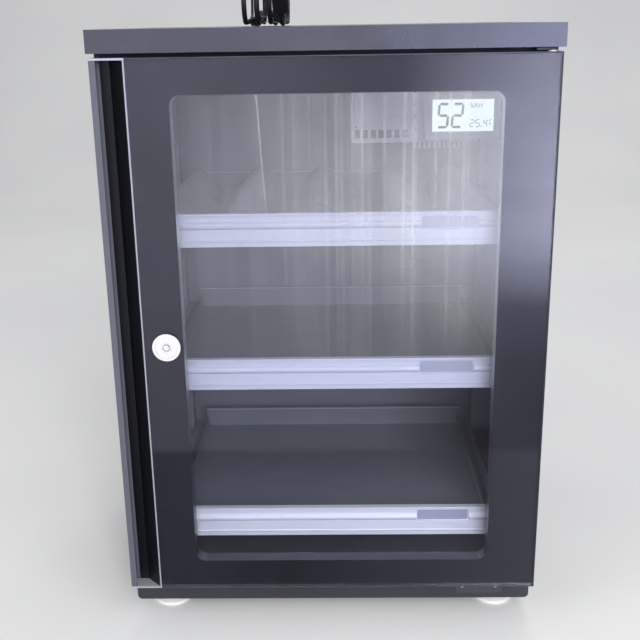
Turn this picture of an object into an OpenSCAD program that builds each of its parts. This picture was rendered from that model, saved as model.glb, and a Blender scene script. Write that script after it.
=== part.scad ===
// Camera dry cabinet with a full glass door, three slide-out trays and a dryer unit.
// Lengths are in millimetres. +Y runs from the door to the back, +Z is up.
// The origin is on the floor, under the middle of the cabinet.

/* [Body] */
// Width of the painted body
body_w = 430; // [420:2:480]
// Depth from the front of the glass to the outside of the back panel
shell_d = 380; // [376:2:440]
// Height from the floor to the top of the lid
total_h = 620; // [610:2:680]
// Steel sheet of the body, the lid and the door
sheet_t = 1.2; // [1:0.1:1.5]
// Radius of the folded lower corners of the body
fold_r = 5; // [3:0.5:8]
// Height of the body that shows below the door
base_reveal = 29; // [27:1:34]
// Width of the painted stiles beside the front opening
stile_w = 23; // [21:0.5:24]
// Height of the front member below the opening
sill_h = 45; // [42:1:52]
// Height of the front member above the opening, up to the lid
header_h = 20; // [16:1:24]
// Depth of the fold that runs back from the front opening
return_d = 12; // [8:0.5:14]
// Height of the inner floor above the bottom sheet
floor_rise = 34; // [30:1:38]
// Height of the folds along the front and the back of the inner floor
floor_fold = 10; // [8:1:14]
// Height of the folds along the front and the back of the inner ceiling
ceiling_fold = 12; // [8:1:14]
// Height of the wiring space between the inner ceiling and the lid's lower edge
ceiling_drop = 17; // [14:1:19]

/* [Lid] */
// Height of the lid
lid_h = 21; // [16:1:26]
// How far the lid reaches past the body on each side and at the back
lid_over = 2; // [1.6:0.2:4]
// Width of the folded lip under the front of the lid
lid_lip = 10; // [6:1:16]
// Gap between the door and the lid
lid_gap = 4; // [4:0.2:5]

/* [Door] */
// Thickness of the door without its seal
door_t = 20; // [19:0.5:21]
// Thickness of the glass
glass_t = 4; // [3:0.5:4]
// Thickness of the printed border on the back of the glass
print_t = 0.4; // [0.2:0.1:0.5]
// Clearance round the glass in its frame
glass_gap = 0.3; // [0.2:0.1:0.5]
// Width of the full-height handle channel
handle_w = 31; // [29:0.5:33]
// Width of the grip lip in front of the channel
grip_lip_w = 6; // [5:0.5:8]
// Depth of the handle channel
channel_d = 16; // [14:0.5:16]
// Thickness of the handle's extruded walls
handle_wall = 1.5; // [1.2:0.1:2]
// Thickness of the caps at the two ends of the handle
end_cap_t = 2; // [1.5:0.5:3]
// Width of the printed border beside the handle
border_left = 40; // [38:0.5:44]
// Width of the printed border on the hinge side
border_right = 50.4; // [44:0.4:56]
// Width of the printed border above the window
border_top = 33.5; // [28:0.5:40]
// Width of the printed border below the window
border_bottom = 31.5; // [28:0.5:40]
// Radius of the window's corners
window_r = 11; // [8:0.5:14]
// Width of the magnetic seal
seal_w = 10; // [8:0.5:10]
// Distance from the side of the door to the seal
seal_inset = 12; // [11:0.5:12.5]
// Distance from the top and the bottom of the door to the seal
seal_rise = 5; // [4:0.5:6]
// Thickness of the seal
seal_t = 3.8; // [3:0.1:5]
// Running gap between the seal and the body
seal_gap = 0.2; // [0.1:0.1:0.4]

/* [Hinges] */
// Distance from the door's side to the hinge axis
hinge_inset = 8.5; // [8:0.1:9]
// Distance from the door's front to the hinge axis
hinge_back = 9; // [8.8:0.1:9.4]
// Radius of the hinge pins
pin_r = 2.5; // [2:0.1:2.6]
// Length of each pin inside the door
pin_reach = 12; // [8:1:16]
// Wall of the plastic hinge bushes
bush_wall = 1.85; // [1.5:0.05:1.9]
// Radial running clearance of pins and shafts
run_fit = 0.05; // [0.02:0.01:0.08]
// Thickness of the hinge plates
hinge_plate_t = 2; // [1.8:0.1:2.2]
// Thickness of the hinge washers
washer_t = 1.2; // [1:0.1:1.3]

/* [Lock] */
// Radius of the round lock face
lock_r = 14; // [12:0.5:14]
// How far the lock stands in front of the glass
lock_proud = 3; // [2:0.5:4]
// Radius of the threaded lock barrel
barrel_r = 9.5; // [9:0.1:10]
// Radius of the turning plug
plug_r = 5.2; // [5:0.1:6]
// Distance from the handle channel to the lock axis
lock_inset = 23.5; // [22:0.5:25]
// Height of the lock axis above the door's lower edge
lock_rise = 273; // [240:1:300]
// Length of the cam from the lock axis
cam_len = 40; // [38:1:44]
// Width of the cam
cam_w = 13; // [11:0.5:14]
// Thickness of the cam
cam_t = 2; // [1.5:0.25:2.5]

/* [Trays] */
// Height of the lower tray's rim above the floor
lower_rim_z = 118; // [112:1:130]
// Height from the rim of the upper tray to the dryer unit
upper_clear = 38.7; // [36:0.1:46]
// Distance from the body's front to the front of the trays
tray_setback = 18; // [17:0.5:20]
// Distance from the rear edge of the trays to the back panel
tray_rear_gap = 49.8; // [48:0.2:70]
// Distance from the standards to the ends of a tray's front rail
tray_front_gap = 10; // [9:0.5:14]
// Height of a tray's front rail
tray_front_h = 34; // [30:0.5:38]
// Thickness of a tray's front rail
tray_front_t = 7; // [6:0.5:9]
// Thickness of the tray sheet
tray_t = 1; // [0.8:0.1:1.2]
// Distance from the rim to the tray's lower face
tray_drop = 26; // [24:0.5:28]
// Width of the hem along the top of the rear upstand
tray_hem = 4; // [3:0.5:6]
// Height of a tray's side walls
tray_side_h = 14; // [10:0.5:18]
// Distance from the standards to a tray's side walls
tray_side_gap = 17; // [16:0.5:22]
// Distance from the standards to the ends of the rear upstand
upstand_gap = 15; // [14:0.5:20]
// Width of the label recess
label_w = 57; // [50:1:64]
// Height of the label recess
label_h = 13.3; // [12:0.1:14]
// Distance from the end of the front rail to the label recess
label_inset = 28; // [20:0.5:40]
// Running gap between a tray and its rails
slide_gap = 0.2; // [0.1:0.1:0.4]

/* [Rails] */
// Thickness of the rail sheet
rail_t = 1.2; // [1:0.1:1.4]
// Free height inside a rail
rail_slot_h = 5; // [4:0.5:6]
// Width of the lip above the tray's runner
rail_lip_w = 6; // [5:0.5:8]
// Width of an upright standard
standard_w = 20; // [16:1:24]
// Distance from the side wall to the face of a standard
standard_d = 25.8; // [24:0.2:26]
// Height between two slots of a standard
slot_pitch = 19; // [16:1:25]

/* [Lens mat] */
// Distance between two ridges of the lens mat
mat_pitch = 80.6; // [70:0.2:90]
// Height of a ridge above the mean height of the mat
mat_wave = 14; // [12:0.5:16]
// Thickness of the mat at the bottom of a trough
mat_min_t = 3.7; // [3:0.1:5]

/* [Dryer unit] */
// Width of the dryer unit
dryer_w = 145; // [135:1:150]
// Height of the dryer unit
dryer_h = 100; // [92:1:104]
// Distance from the side wall to the dryer unit
dryer_side = 41.3; // [39:0.1:46]
// Depth of the dryer unit in front of the back panel
dryer_d = 88.8; // [80:0.4:89.2]
// Wall of the dryer housing
dryer_wall = 2; // [1.6:0.1:2.6]
// Number of air slots in the row
vent_count = 7; // [5:1:9]
// Height of the air slots
vent_h = 10; // [8:0.5:11]
// Depth of the duct cover on the back panel
duct_d = 12; // [8:1:16]
// Height of the duct cover
duct_h = 204; // [180:2:220]
// Thickness of the vent cover on the outside of the back
rear_cover_t = 14; // [13:0.5:16]

/* [Hygrometer] */
// Width of the hygrometer
meter_w = 88; // [80:1:90]
// Height of the hygrometer
meter_h = 51.4; // [46:0.2:54]
// Thickness of the hygrometer
meter_t = 22; // [16:1:24]
// Distance from the side wall to the hygrometer
meter_side = 12.1; // [8:0.1:20]
// Gap between the hygrometer and the dryer unit, bridged by the holder
meter_standoff = 20; // [14:1:26]

/* [Feet] */
// Height of the feet
foot_h = 16; // [14:0.5:20]
// Radius of the foot discs
foot_r = 21; // [18:0.5:22]
// Thickness of the foot discs
foot_t = 6; // [5:0.5:7]
// Distance from the side of the body to the foot axis
foot_inset = 34; // [30:1:45]
// Distance from the front and the back of the body to the foot axis
foot_setback = 32; // [28:1:45]
// Radius of the foot stem's thread
stem_r = 4; // [3:0.5:5]

/* [Cord] */
// Diameter of the power cord
cord_d = 5.6; // [5.2:0.1:5.8]
// Gap between two neighbouring loops of the tied hank
hank_gap = 0.8; // [0.6:0.1:1]

/* [Hidden] */
$fn = 48;

// Overrun of every cut past the face it opens
cut = 1;
// Clearance between pieces of one body that sit side by side
seat_gap = 0.3;

// Colours as the photograph shows them
paint = [0.16, 0.17, 0.19];
lid_paint = [0.42, 0.42, 0.45];
bright = [0.80, 0.82, 0.87];
tray_grey = [0.38, 0.39, 0.42];
print_black = [0.10, 0.11, 0.13];
chrome = [0.85, 0.86, 0.88];
plastic = [0.74, 0.75, 0.80];
white = [0.94, 0.93, 0.93];
black = [0.05, 0.05, 0.06];

// Main planes. The lock and the rear vent cover are the foremost and rearmost faces.
front_y = (lock_proud - shell_d - rear_cover_t) / 2;
door_back_y = front_y + door_t;
body_y = door_back_y + seal_t + seal_gap;
back_y = front_y + shell_d;
rear_y = back_y + rear_cover_t;
half_w = body_w / 2;
inner_w = half_w - sheet_t;
base_z = foot_h;
door_z = base_z + base_reveal;
lid_z = total_h - lid_h;
door_top = lid_z - lid_gap;
shell_top = total_h - sheet_t;
opening_x = half_w - stile_w;
opening_z = base_z + sill_h;
opening_top = lid_z - header_h;
floor_z = base_z + floor_rise;
ceiling_z = lid_z - ceiling_drop;
frame_back_y = body_y + sheet_t;
wrap_back_y = back_y - sheet_t;

// Door
glass_x0 = -half_w + handle_w;
glass_back_y = front_y + glass_t;
print_back_y = glass_back_y + print_t;
window_x0 = glass_x0 + border_left;
window_x1 = half_w - border_right;
window_z0 = door_z + border_bottom;
window_z1 = door_top - border_top;
hinge_x = half_w - hinge_inset;
hinge_y = front_y + hinge_back;
bush_r = pin_r + run_fit + bush_wall;
hinge_block_x = hinge_x - bush_r - 2 * sheet_t;
ledge_w = 3;

// Lock
keeper_clear = 1;
keeper_low = 0.66 * cam_len;
lock_x = glass_x0 + lock_inset;
lock_z = door_z + lock_rise;
cam_y = frame_back_y + keeper_clear;
barrel_end_y = body_y + seal_gap;
lock_nut_t = 3;

// Trays and their rails
tray_y = body_y + tray_setback;
runner_play = 1;
tray_back_y = wrap_back_y - tray_rear_gap;
middle_share = 0.529;
standard_x = inner_w - standard_d;
pan_half_w = standard_x - tray_side_gap;
front_half_w = standard_x - tray_front_gap;
upstand_half_w = standard_x - upstand_gap;
runner_x = standard_x - rail_t - runner_play;
rail_y0 = tray_y + tray_front_t + runner_play;
rail_y1 = tray_back_y + runner_play + rail_t;
front_standard_y = rail_y0 + standard_w / 2;
rear_standard_y = tray_back_y - standard_w;

// Dryer unit and hygrometer
dryer_z1 = ceiling_z - seat_gap;
dryer_z0 = dryer_z1 - dryer_h;
dryer_y = wrap_back_y - dryer_d;
vent_margin = 14;
back_seam_z = dryer_z0 + vent_margin;
dryer_x = inner_w - dryer_side - dryer_w / 2;
meter_x = inner_w - meter_side - meter_w / 2;
upper_rim_z = dryer_z0 - upper_clear;
middle_rim_z = lower_rim_z + middle_share * (upper_rim_z - lower_rim_z);
meter_y = dryer_y - meter_standoff - meter_t;
meter_lift = 7.5;
meter_z = dryer_z0 + meter_lift;
meter_corner_r = 3;

// Feet
foot_x = half_w - foot_inset;
foot_front_y = body_y + foot_setback;
foot_rear_y = back_y - foot_setback;

// Box between two corners
module slab(x0, x1, y0, y1, z0, z1) {
    translate([x0, y0, z0]) cube([x1 - x0, y1 - y0, z1 - z0]);
}

// Flat rectangle between two corners
module rect(x0, x1, z0, z1) {
    translate([x0, z0]) square([x1 - x0, z1 - z0]);
}

// Flat outline in X and Z carried along Y
module along_y(y0, y1) {
    translate([0, y1, 0]) rotate([90, 0, 0]) linear_extrude(y1 - y0) children();
}

// Flat outline in Y and Z carried along X
module along_x(x0, x1) {
    translate([x0, 0, 0]) rotate([90, 0, 90]) linear_extrude(x1 - x0) children();
}

// Rounded rectangle between two corners
module round_rect(x0, x1, z0, z1, r) {
    translate([x0 + r, z0]) square([x1 - x0 - 2 * r, z1 - z0]);
    translate([x0, z0 + r]) square([x1 - x0, z1 - z0 - 2 * r]);
    for (x = [x0 + r, x1 - r], z = [z0 + r, z1 - r]) translate([x, z]) circle(r);
}

// Ring between two rounded rectangles, the outer one grown by w
module round_ring(x0, x1, z0, z1, r, w) {
    difference() {
        round_rect(x0 - w, x1 + w, z0 - w, z1 + w, r + w);
        round_rect(x0, x1, z0, z1, r);
    }
}

// Body outline, folded at the two lower corners and square at the top
module body_outline(inset) {
    r = fold_r - inset;
    x = half_w - inset;
    z = base_z + inset;
    translate([-x, z + r]) square([2 * x, shell_top - z - r]);
    translate([r - x, z]) square([2 * (x - r), r]);
    for (s = [-1, 1]) translate([s * (x - r), z + r]) circle(r);
}

// Front frame with its folded opening and the slot that the lock's cam swings up into
module front_frame() {
    color(paint) difference() {
        union() {
            along_y(body_y, frame_back_y) body_outline(0);
            slab(-opening_x - sheet_t, opening_x + sheet_t, frame_back_y, body_y + return_d,
                opening_z - sheet_t, opening_top + sheet_t);
        }
        slab(-opening_x, opening_x, body_y - cut, body_y + return_d + cut, opening_z, opening_top);
        slab(-opening_x - sheet_t - cut, cut - opening_x, cam_y - keeper_clear / 2,
            cam_y + cam_t + keeper_clear, lock_z - keeper_low, lock_z + cam_w / 2 + keeper_clear);
    }
}

// Side walls and bottom, one folded sheet
module body_wrap() {
    color(paint) difference() {
        along_y(frame_back_y, wrap_back_y) difference() {
            body_outline(0);
            body_outline(sheet_t);
            rect(-inner_w, inner_w, base_z + fold_r, shell_top + cut);
        }
        for (s = [-1, 1]) translate([s * foot_x, foot_front_y, base_z - cut])
            cylinder(r = stem_r + seat_gap, h = sheet_t + 2 * cut);
    }
}

// Lower part of the back, up to the dryer's vent opening
module back_panel() {
    color(paint) along_y(wrap_back_y, back_y) difference() {
        body_outline(0);
        rect(-half_w - cut, half_w + cut, back_seam_z, shell_top + cut);
    }
}

// Upper part of the back. It carries the dryer unit and is notched for its outer vent.
module upper_back_panel() {
    color(paint) along_y(wrap_back_y, back_y) difference() {
        rect(-half_w, half_w, back_seam_z, shell_top);
        rect(dryer_x - dryer_w / 2 + vent_margin, dryer_x + dryer_w / 2 - vent_margin,
            back_seam_z - cut, dryer_z1 - vent_margin);
    }
}

// Level sheet with its front and rear edges folded
module deck(z, fold) {
    y0 = body_y + return_d;
    z0 = min(z, z + fold);
    slab(-inner_w, inner_w, y0, wrap_back_y, z, z + sheet_t);
    for (y = [y0, wrap_back_y - sheet_t])
        slab(-inner_w, inner_w, y, y + sheet_t, z0, z0 + abs(fold));
}

module floor_panel() {
    color(paint) deck(floor_z, -floor_fold);
}

module ceiling_panel() {
    color(paint) deck(ceiling_z, ceiling_fold);
}

// Lid, open below, with a lip folded back under its front edge
module top_cap() {
    x = half_w + lid_over;
    y1 = back_y + lid_over;
    color(lid_paint) difference() {
        slab(-x, x, front_y, y1, lid_z, total_h);
        slab(sheet_t - x, x - sheet_t, front_y + lid_lip, y1 - sheet_t, lid_z - cut, shell_top);
        slab(sheet_t - x, x - sheet_t, front_y + sheet_t, front_y + lid_lip + cut,
            lid_z + sheet_t, shell_top);
    }
}

// Hinge plates: a leg screwed to the body and a tongue that carries the pin
upper_plate_z = door_top + washer_t + seal_gap;
lower_plate_z = door_z - washer_t - seal_gap - hinge_plate_t;
tongue_y = front_y + hinge_back - 2 * pin_r;
tongue_x = hinge_x - 6 * pin_r;
upper_leg_x = opening_x - stile_w;
upper_leg_h = 16;
lower_leg_x = 135;
lower_leg_w = 50;
lower_leg_h = 20;
tongue_x1 = hinge_x + 2 * pin_r;

module hinge_tongue(z) {
    translate([0, 0, z]) linear_extrude(hinge_plate_t) union() {
        translate([tongue_x, hinge_y]) square([tongue_x1 - tongue_x, body_y - hinge_y]);
        translate([tongue_x, tongue_y]) square([hinge_x - tongue_x, hinge_y - tongue_y]);
        translate([hinge_x, hinge_y]) circle(2 * pin_r);
    }
}

module upper_hinge_bracket() {
    color(bright) union() {
        hinge_tongue(upper_plate_z);
        slab(upper_leg_x, tongue_x1, body_y - hinge_plate_t, body_y, upper_plate_z,
            upper_plate_z + upper_leg_h);
    }
}

module lower_hinge_bracket() {
    leg_top = lower_plate_z + hinge_plate_t;
    color(bright) union() {
        hinge_tongue(lower_plate_z);
        slab(lower_leg_x, tongue_x1, body_y - hinge_plate_t, body_y, lower_plate_z, leg_top);
        slab(lower_leg_x, lower_leg_x + lower_leg_w, body_y - hinge_plate_t, body_y,
            leg_top - lower_leg_h, leg_top);
    }
}

module hinge_pins() {
    upper_len = upper_plate_z - door_top + pin_reach;
    lower_z = lower_plate_z + hinge_plate_t;
    color(chrome) {
        translate([hinge_x, hinge_y, upper_plate_z - upper_len]) cylinder(r = pin_r, h = upper_len);
        translate([hinge_x, hinge_y, lower_z]) cylinder(r = pin_r, h = door_z - lower_z + pin_reach);
    }
}

module hinge_washers() {
    washer_seat = seal_gap / 2;
    color(white) for (z = [door_top + washer_seat, door_z - washer_seat - washer_t])
        translate([hinge_x, hinge_y, z]) difference() {
            cylinder(r = 1.7 * pin_r, h = washer_t);
            translate([0, 0, -cut]) cylinder(r = pin_r + run_fit, h = washer_t + 2 * cut);
        }
}

// Pan-head screws that hold the two hinge legs
module hinge_screws() {
    head_r = 3.5;
    head_h = 2;
    edge = 7;
    leg_z = lower_plate_z + hinge_plate_t - lower_leg_h / 2;
    places = [[lower_leg_x + edge, leg_z], [lower_leg_x + lower_leg_w - edge, leg_z],
        [upper_leg_x + edge, upper_plate_z + upper_leg_h / 2],
        [opening_x, upper_plate_z + upper_leg_h / 2]];
    color(chrome) for (p = places) translate([p[0], body_y - hinge_plate_t, p[1]])
        rotate([90, 0, 0]) cylinder(r1 = head_r, r2 = 0.7 * head_r, h = head_h);
}

// Threaded plates that the front feet screw into
module foot_nuts() {
    nut_w = 30;
    nut_h = 8;
    color(chrome) for (s = [-1, 1]) translate([s * foot_x, foot_front_y, base_z + sheet_t])
        difference() {
            translate([-nut_w / 2, -nut_w / 2, 0]) cube([nut_w, nut_w, nut_h]);
            translate([0, 0, -cut]) cylinder(r = stem_r + run_fit, h = nut_h + 2 * cut);
        }
}

module rear_feet() {
    heel_r = 12;
    color(white) for (s = [-1, 1]) translate([s * foot_x, foot_rear_y, 0]) {
        cylinder(r = foot_r, h = foot_t);
        translate([0, 0, foot_t]) cylinder(r = heel_r, h = base_z - foot_t);
    }
}

// Levelling foot disc with the socket that the stem turns in
socket_r = 1.25 * stem_r;
socket_d = foot_t / 2;

module foot_pad(side) {
    color(white) translate([side * foot_x, foot_front_y, 0]) difference() {
        union() {
            cylinder(r = foot_r, h = 0.6 * foot_t);
            translate([0, 0, 0.6 * foot_t]) cylinder(r1 = foot_r, r2 = 0.8 * foot_r, h = 0.4 * foot_t);
        }
        translate([0, 0, foot_t - socket_d]) cylinder(r = socket_r + run_fit, h = socket_d + cut);
    }
}

module foot_stem(side) {
    nut_r = 1.9 * stem_r;
    nut_h = 4;
    neck_h = 1;
    top_clear = 2;
    z0 = foot_t - socket_d + run_fit;
    nut_z = foot_t + neck_h;
    stem_z = nut_z + nut_h;
    color(chrome) translate([side * foot_x, foot_front_y, 0]) {
        translate([0, 0, z0]) cylinder(r = socket_r, h = nut_z - z0);
        translate([0, 0, nut_z]) cylinder(r = nut_r, h = nut_h, $fn = 6);
        translate([0, 0, stem_z]) cylinder(r = stem_r, h = base_z + floor_rise - top_clear - stem_z);
    }
}

// Slotted uprights, one near the front and one near the back of each side
module standards(side) {
    z0 = floor_z + sheet_t;
    z1 = ceiling_z;
    slot_w = 12;
    slot_h = 3;
    margin = 12;
    count = floor((z1 - z0 - 2 * margin) / slot_pitch);
    color(tray_grey) for (y = [front_standard_y, rear_standard_y]) difference() {
        mirror([side < 0 ? 1 : 0, 0, 0]) slab(standard_x, inner_w, y, y + standard_w, z0, z1);
        mirror([side < 0 ? 1 : 0, 0, 0]) slab(standard_x + sheet_t, inner_w + cut,
            y + sheet_t, y + standard_w - sheet_t, z0 - cut, z1 + cut);
        for (i = [0:count]) mirror([side < 0 ? 1 : 0, 0, 0])
            slab(standard_x - cut, standard_x + sheet_t + cut,
                y + (standard_w - slot_w) / 2, y + (standard_w + slot_w) / 2,
                z0 + margin + i * slot_pitch, z0 + margin + i * slot_pitch + slot_h);
    }
}

// Pair of channel rails that hold one tray by its runners
module rails(rim_z) {
    shelf_top = rim_z - tray_drop - slide_gap;
    shelf_x = pan_half_w + seat_gap;
    top_z = shelf_top + rail_slot_h;
    hole_r = 2.2;
    color(bright) for (s = [0, 1]) mirror([s, 0, 0]) difference() {
        union() {
            along_y(rail_y0, rail_y1) union() {
                rect(shelf_x, standard_x, shelf_top - rail_t, shelf_top);
                rect(standard_x - rail_t, standard_x, shelf_top - rail_t, top_z + rail_t);
                rect(standard_x - rail_lip_w - rail_t, standard_x, top_z, top_z + rail_t);
            }
            slab(shelf_x, standard_x, rail_y1 - rail_t, rail_y1, shelf_top - rail_t, top_z + rail_t);
        }
        for (y = [front_standard_y, rear_standard_y]) translate([0, y - 2 * hole_r, 0])
            translate([standard_x - rail_t - cut, 0, shelf_top + rail_slot_h / 2])
                rotate([0, 90, 0]) cylinder(r = hole_r, h = rail_t + 2 * cut);
    }
}

// Folded tray: floor with runners, low sides, rear upstand with a hem
module tray_pan(rim_z) {
    z0 = rim_z - tray_drop;
    x = pan_half_w;
    y0 = tray_y + tray_front_t;
    color(tray_grey) union() {
        slab(-runner_x, runner_x, y0, tray_back_y, z0, z0 + tray_t);
        for (s = [-1, 1]) slab(s * x - (s > 0 ? tray_t : 0), s * x + (s < 0 ? tray_t : 0),
            y0, tray_back_y, z0, z0 + tray_side_h);
        slab(-upstand_half_w, upstand_half_w, tray_back_y - tray_t, tray_back_y, z0, rim_z);
        slab(-upstand_half_w, upstand_half_w, tray_back_y - tray_hem, tray_back_y, rim_z - tray_t, rim_z);
        slab(-x, x, y0, y0 + tray_t, z0, rim_z - tray_hem);
    }
}

// Outline of the extruded front rail, its face looking towards -Y
band_shares = [0.056, 0.26, 0.48, 0.805, 0.835];
module tray_front_outline() {
    lip_z = -band_shares[0] * tray_front_h;
    band_top = -band_shares[1] * tray_front_h;
    band_end = -band_shares[2] * tray_front_h;
    line_top = -band_shares[3] * tray_front_h;
    line_end = -band_shares[4] * tray_front_h;
    band_half = (band_top - band_end) / 2;
    band_rise = 2;
    band_r = (band_half * band_half + band_rise * band_rise) / (2 * band_rise);
    face = 3;
    flat_face = 1.5;
    line_face = 0.5;
    rect(0, tray_front_t, lip_z, 0);
    rect(face, tray_front_t, band_top, lip_z);
    intersection() {
        translate([band_r, band_top - band_half]) circle(band_r);
        rect(0, band_rise, band_end, band_top);
    }
    rect(band_rise, tray_front_t, band_end, band_top);
    rect(flat_face, tray_front_t, line_top, band_end);
    rect(line_face, tray_front_t, line_end, line_top);
    rect(band_rise, tray_front_t, -tray_front_h, line_end);
}

module tray_front(rim_z) {
    label_top = 4.3;
    label_floor = 4;
    color(bright) difference() {
        along_x(-front_half_w, front_half_w) translate([tray_y, rim_z])
            tray_front_outline();
        slab(front_half_w - label_inset - label_w, front_half_w - label_inset, tray_y - cut,
            tray_y + label_floor, rim_z - label_top - label_h, rim_z - label_top);
    }
}

// Wave-top foam mat that lenses lie in, on the upper tray
module lens_mat() {
    z0 = upper_rim_z - tray_drop + tray_t;
    x = pan_half_w - tray_t - seat_gap;
    y0 = tray_y + tray_front_t + tray_t + seat_gap;
    steps = 64;
    mid = mat_min_t + mat_wave;
    ridge_x = -mat_pitch / 12;
    top = [for (i = [0:steps]) let (u = x - 2 * x * i / steps)
        [u, z0 + mid + mat_wave * cos(360 * (u - ridge_x) / mat_pitch)]];
    color(tray_grey) along_y(y0, tray_back_y - tray_hem - seat_gap)
        polygon(concat([[-x, z0], [x, z0]], top));
}

// Raised duct cover on the inside of the back panel, below the dryer unit
module duct_cover() {
    x0 = dryer_x - dryer_w / 2;
    x1 = inner_w - seat_gap;
    louvre_w = 60;
    louvre_h = 3;
    louvre_pitch = 9;
    louvre_count = 6;
    color(tray_grey) difference() {
        slab(x0, x1, wrap_back_y - duct_d, wrap_back_y, dryer_z0 - duct_h, dryer_z0 - seat_gap);
        slab(x0 + sheet_t, x1 - sheet_t, wrap_back_y - duct_d + sheet_t, wrap_back_y + cut,
            dryer_z0 - duct_h + sheet_t, dryer_z0 + cut);
        for (i = [1:louvre_count])
            slab((x0 + x1 - louvre_w) / 2, (x0 + x1 + louvre_w) / 2, wrap_back_y - duct_d - cut,
                wrap_back_y - duct_d + sheet_t + cut, dryer_z0 - duct_h + i * louvre_pitch,
                dryer_z0 - duct_h + i * louvre_pitch + louvre_h);
    }
}

// Dryer unit: moulded housing with a slot row, a comb below and a column of holes
vent_pitch = 9.6;
vent_w = 6.4;
vent_rise = 5.2;
vent_inset = 4.5;
vent_z = dryer_z0 + vent_rise;
vent_x = dryer_x - dryer_w / 2 + vent_inset;
comb_x = vent_x + vent_count * vent_pitch + vent_inset;

module dryer_housing() {
    x0 = dryer_x - dryer_w / 2;
    x1 = dryer_x + dryer_w / 2;
    corner_r = 3;
    lip_d = 3;
    lip_h = 4;
    comb_count = 11;
    comb_pitch = 6;
    comb_w = 3;
    comb_drop = 8;
    comb_t = 3;
    hole_r = 1.6;
    hole_pitch = 14;
    guide_t = 1.5;
    color(plastic) difference() {
        union() {
            along_y(dryer_y, wrap_back_y) round_rect(x0, x1, dryer_z0, dryer_z1, corner_r);
            slab(x0 + corner_r, comb_x, dryer_y - lip_d, dryer_y, dryer_z0, dryer_z0 + lip_h);
            for (i = [0:comb_count - 1]) slab(comb_x + i * comb_pitch, comb_x + i * comb_pitch + comb_w,
                dryer_y, dryer_y + comb_t, dryer_z0 - comb_drop, dryer_z0 + corner_r);
        }
        difference() {
            along_y(dryer_y + dryer_wall, wrap_back_y + cut)
                round_rect(x0 + dryer_wall, x1 - dryer_wall, dryer_z0 + dryer_wall,
                    dryer_z1 - dryer_wall, dryer_wall);
            for (x = [shutter_x0 - seat_gap - guide_t, shutter_x1 + seat_gap])
                slab(x, x + guide_t, dryer_y, dryer_y + dryer_wall + shutter_t + seat_gap,
                    dryer_z0, shutter_z + shutter_h);
        }
        for (i = [0:vent_count - 1]) slab(vent_x + i * vent_pitch, vent_x + i * vent_pitch + vent_w,
            dryer_y - cut, dryer_y + dryer_wall + cut, vent_z, vent_z + vent_h);
        for (i = [0:3]) translate([comb_x + hole_r, dryer_y - cut, dryer_z0 + (i + 1.2) * hole_pitch])
            rotate([-90, 0, 0]) cylinder(r = hole_r, h = dryer_wall + 2 * cut);
    }
}

// Shutter that slides down behind the air slots and closes them while the unit dries itself
shutter_t = 1.5;
shutter_lap = 1.2;
shutter_x0 = vent_x - shutter_lap;
shutter_x1 = vent_x + (vent_count - 1) * vent_pitch + vent_w + shutter_lap;
shutter_z = vent_z + vent_h + shutter_lap / 2;
shutter_h = vent_h + shutter_lap;

module dryer_shutter() {
    rod_w = 4;
    rod_len = 8;
    y0 = dryer_y + dryer_wall + seat_gap / 2;
    mid_x = (shutter_x0 + shutter_x1) / 2;
    color(white) union() {
        slab(shutter_x0, shutter_x1, y0, y0 + shutter_t, shutter_z, shutter_z + shutter_h);
        slab(mid_x - rod_w / 2, mid_x + rod_w / 2, y0, y0 + rod_len,
            shutter_z + shutter_h - rod_w, shutter_z + shutter_h);
    }
}

// Drying agent block and the heating plate that renews it
pack_inset = 10;
pack_z0 = dryer_z0 + dryer_wall;
heater_t = 4;
pack_y = dryer_y + dryer_d / 3;

module desiccant_pack() {
    color(white) slab(dryer_x - dryer_w / 2 + pack_inset, dryer_x + dryer_w / 2 - pack_inset,
        pack_y, wrap_back_y - pack_inset, pack_z0, dryer_z1 - dryer_h / 3);
}

module heater_plate() {
    color(bright) slab(dryer_x - dryer_w / 2 + pack_inset, dryer_x + dryer_w / 2 - pack_inset,
        pack_y, wrap_back_y - pack_inset, dryer_z1 - dryer_h / 3, dryer_z1 - dryer_h / 3 + heater_t);
}

// Louvred cover over the dryer's outer vent
cover_over = 8;
cover_below = 6;
cover_drop = 2;
cover_x0 = dryer_x - dryer_w / 2 - cover_over;
cover_x1 = dryer_x + dryer_w / 2 + cover_over;
cover_z0 = dryer_z0 - cover_below;
cover_z1 = dryer_z1 - cover_drop;
cover_wall = 2;

module rear_vent_cover() {
    corner_r = 4;
    slot_margin = 18;
    slot_h = 3;
    pitch = 8;
    count = floor((cover_z1 - cover_z0 - 2 * slot_margin) / pitch);
    color(plastic) difference() {
        along_y(back_y, rear_y) round_rect(cover_x0, cover_x1, cover_z0, cover_z1, corner_r);
        along_y(back_y - cut, rear_y - cover_wall) round_rect(cover_x0 + cover_wall,
            cover_x1 - cover_wall, cover_z0 + cover_wall, cover_z1 - cover_wall,
            corner_r - cover_wall);
        for (i = [0:count]) slab(cover_x0 + slot_margin, cover_x1 - slot_margin,
            rear_y - cover_wall - cut, rear_y + cut, cover_z0 + slot_margin + i * pitch,
            cover_z0 + slot_margin + i * pitch + slot_h);
    }
}

// Strain relief on the side of the rear cover, a stack of narrowing rings
gland_len = 22.5;
gland_r = 5.5;
gland_end_r = 4;
gland_drop = 19.7;
gland_y = back_y + rear_cover_t / 2;
gland_z = cover_z1 - gland_drop;

module cord_gland() {
    rings = 6;
    ring_len = gland_len / rings;
    color(black) translate([cover_x0, gland_y, gland_z]) rotate([0, -90, 0])
        for (i = [0:rings - 1]) {
            translate([0, 0, i * ring_len])
                cylinder(r = gland_r - i * (gland_r - gland_end_r) / (rings - 1), h = 0.6 * ring_len);
            translate([0, 0, i * ring_len]) cylinder(r = 0.6 * gland_r, h = ring_len);
        }
}

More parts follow.
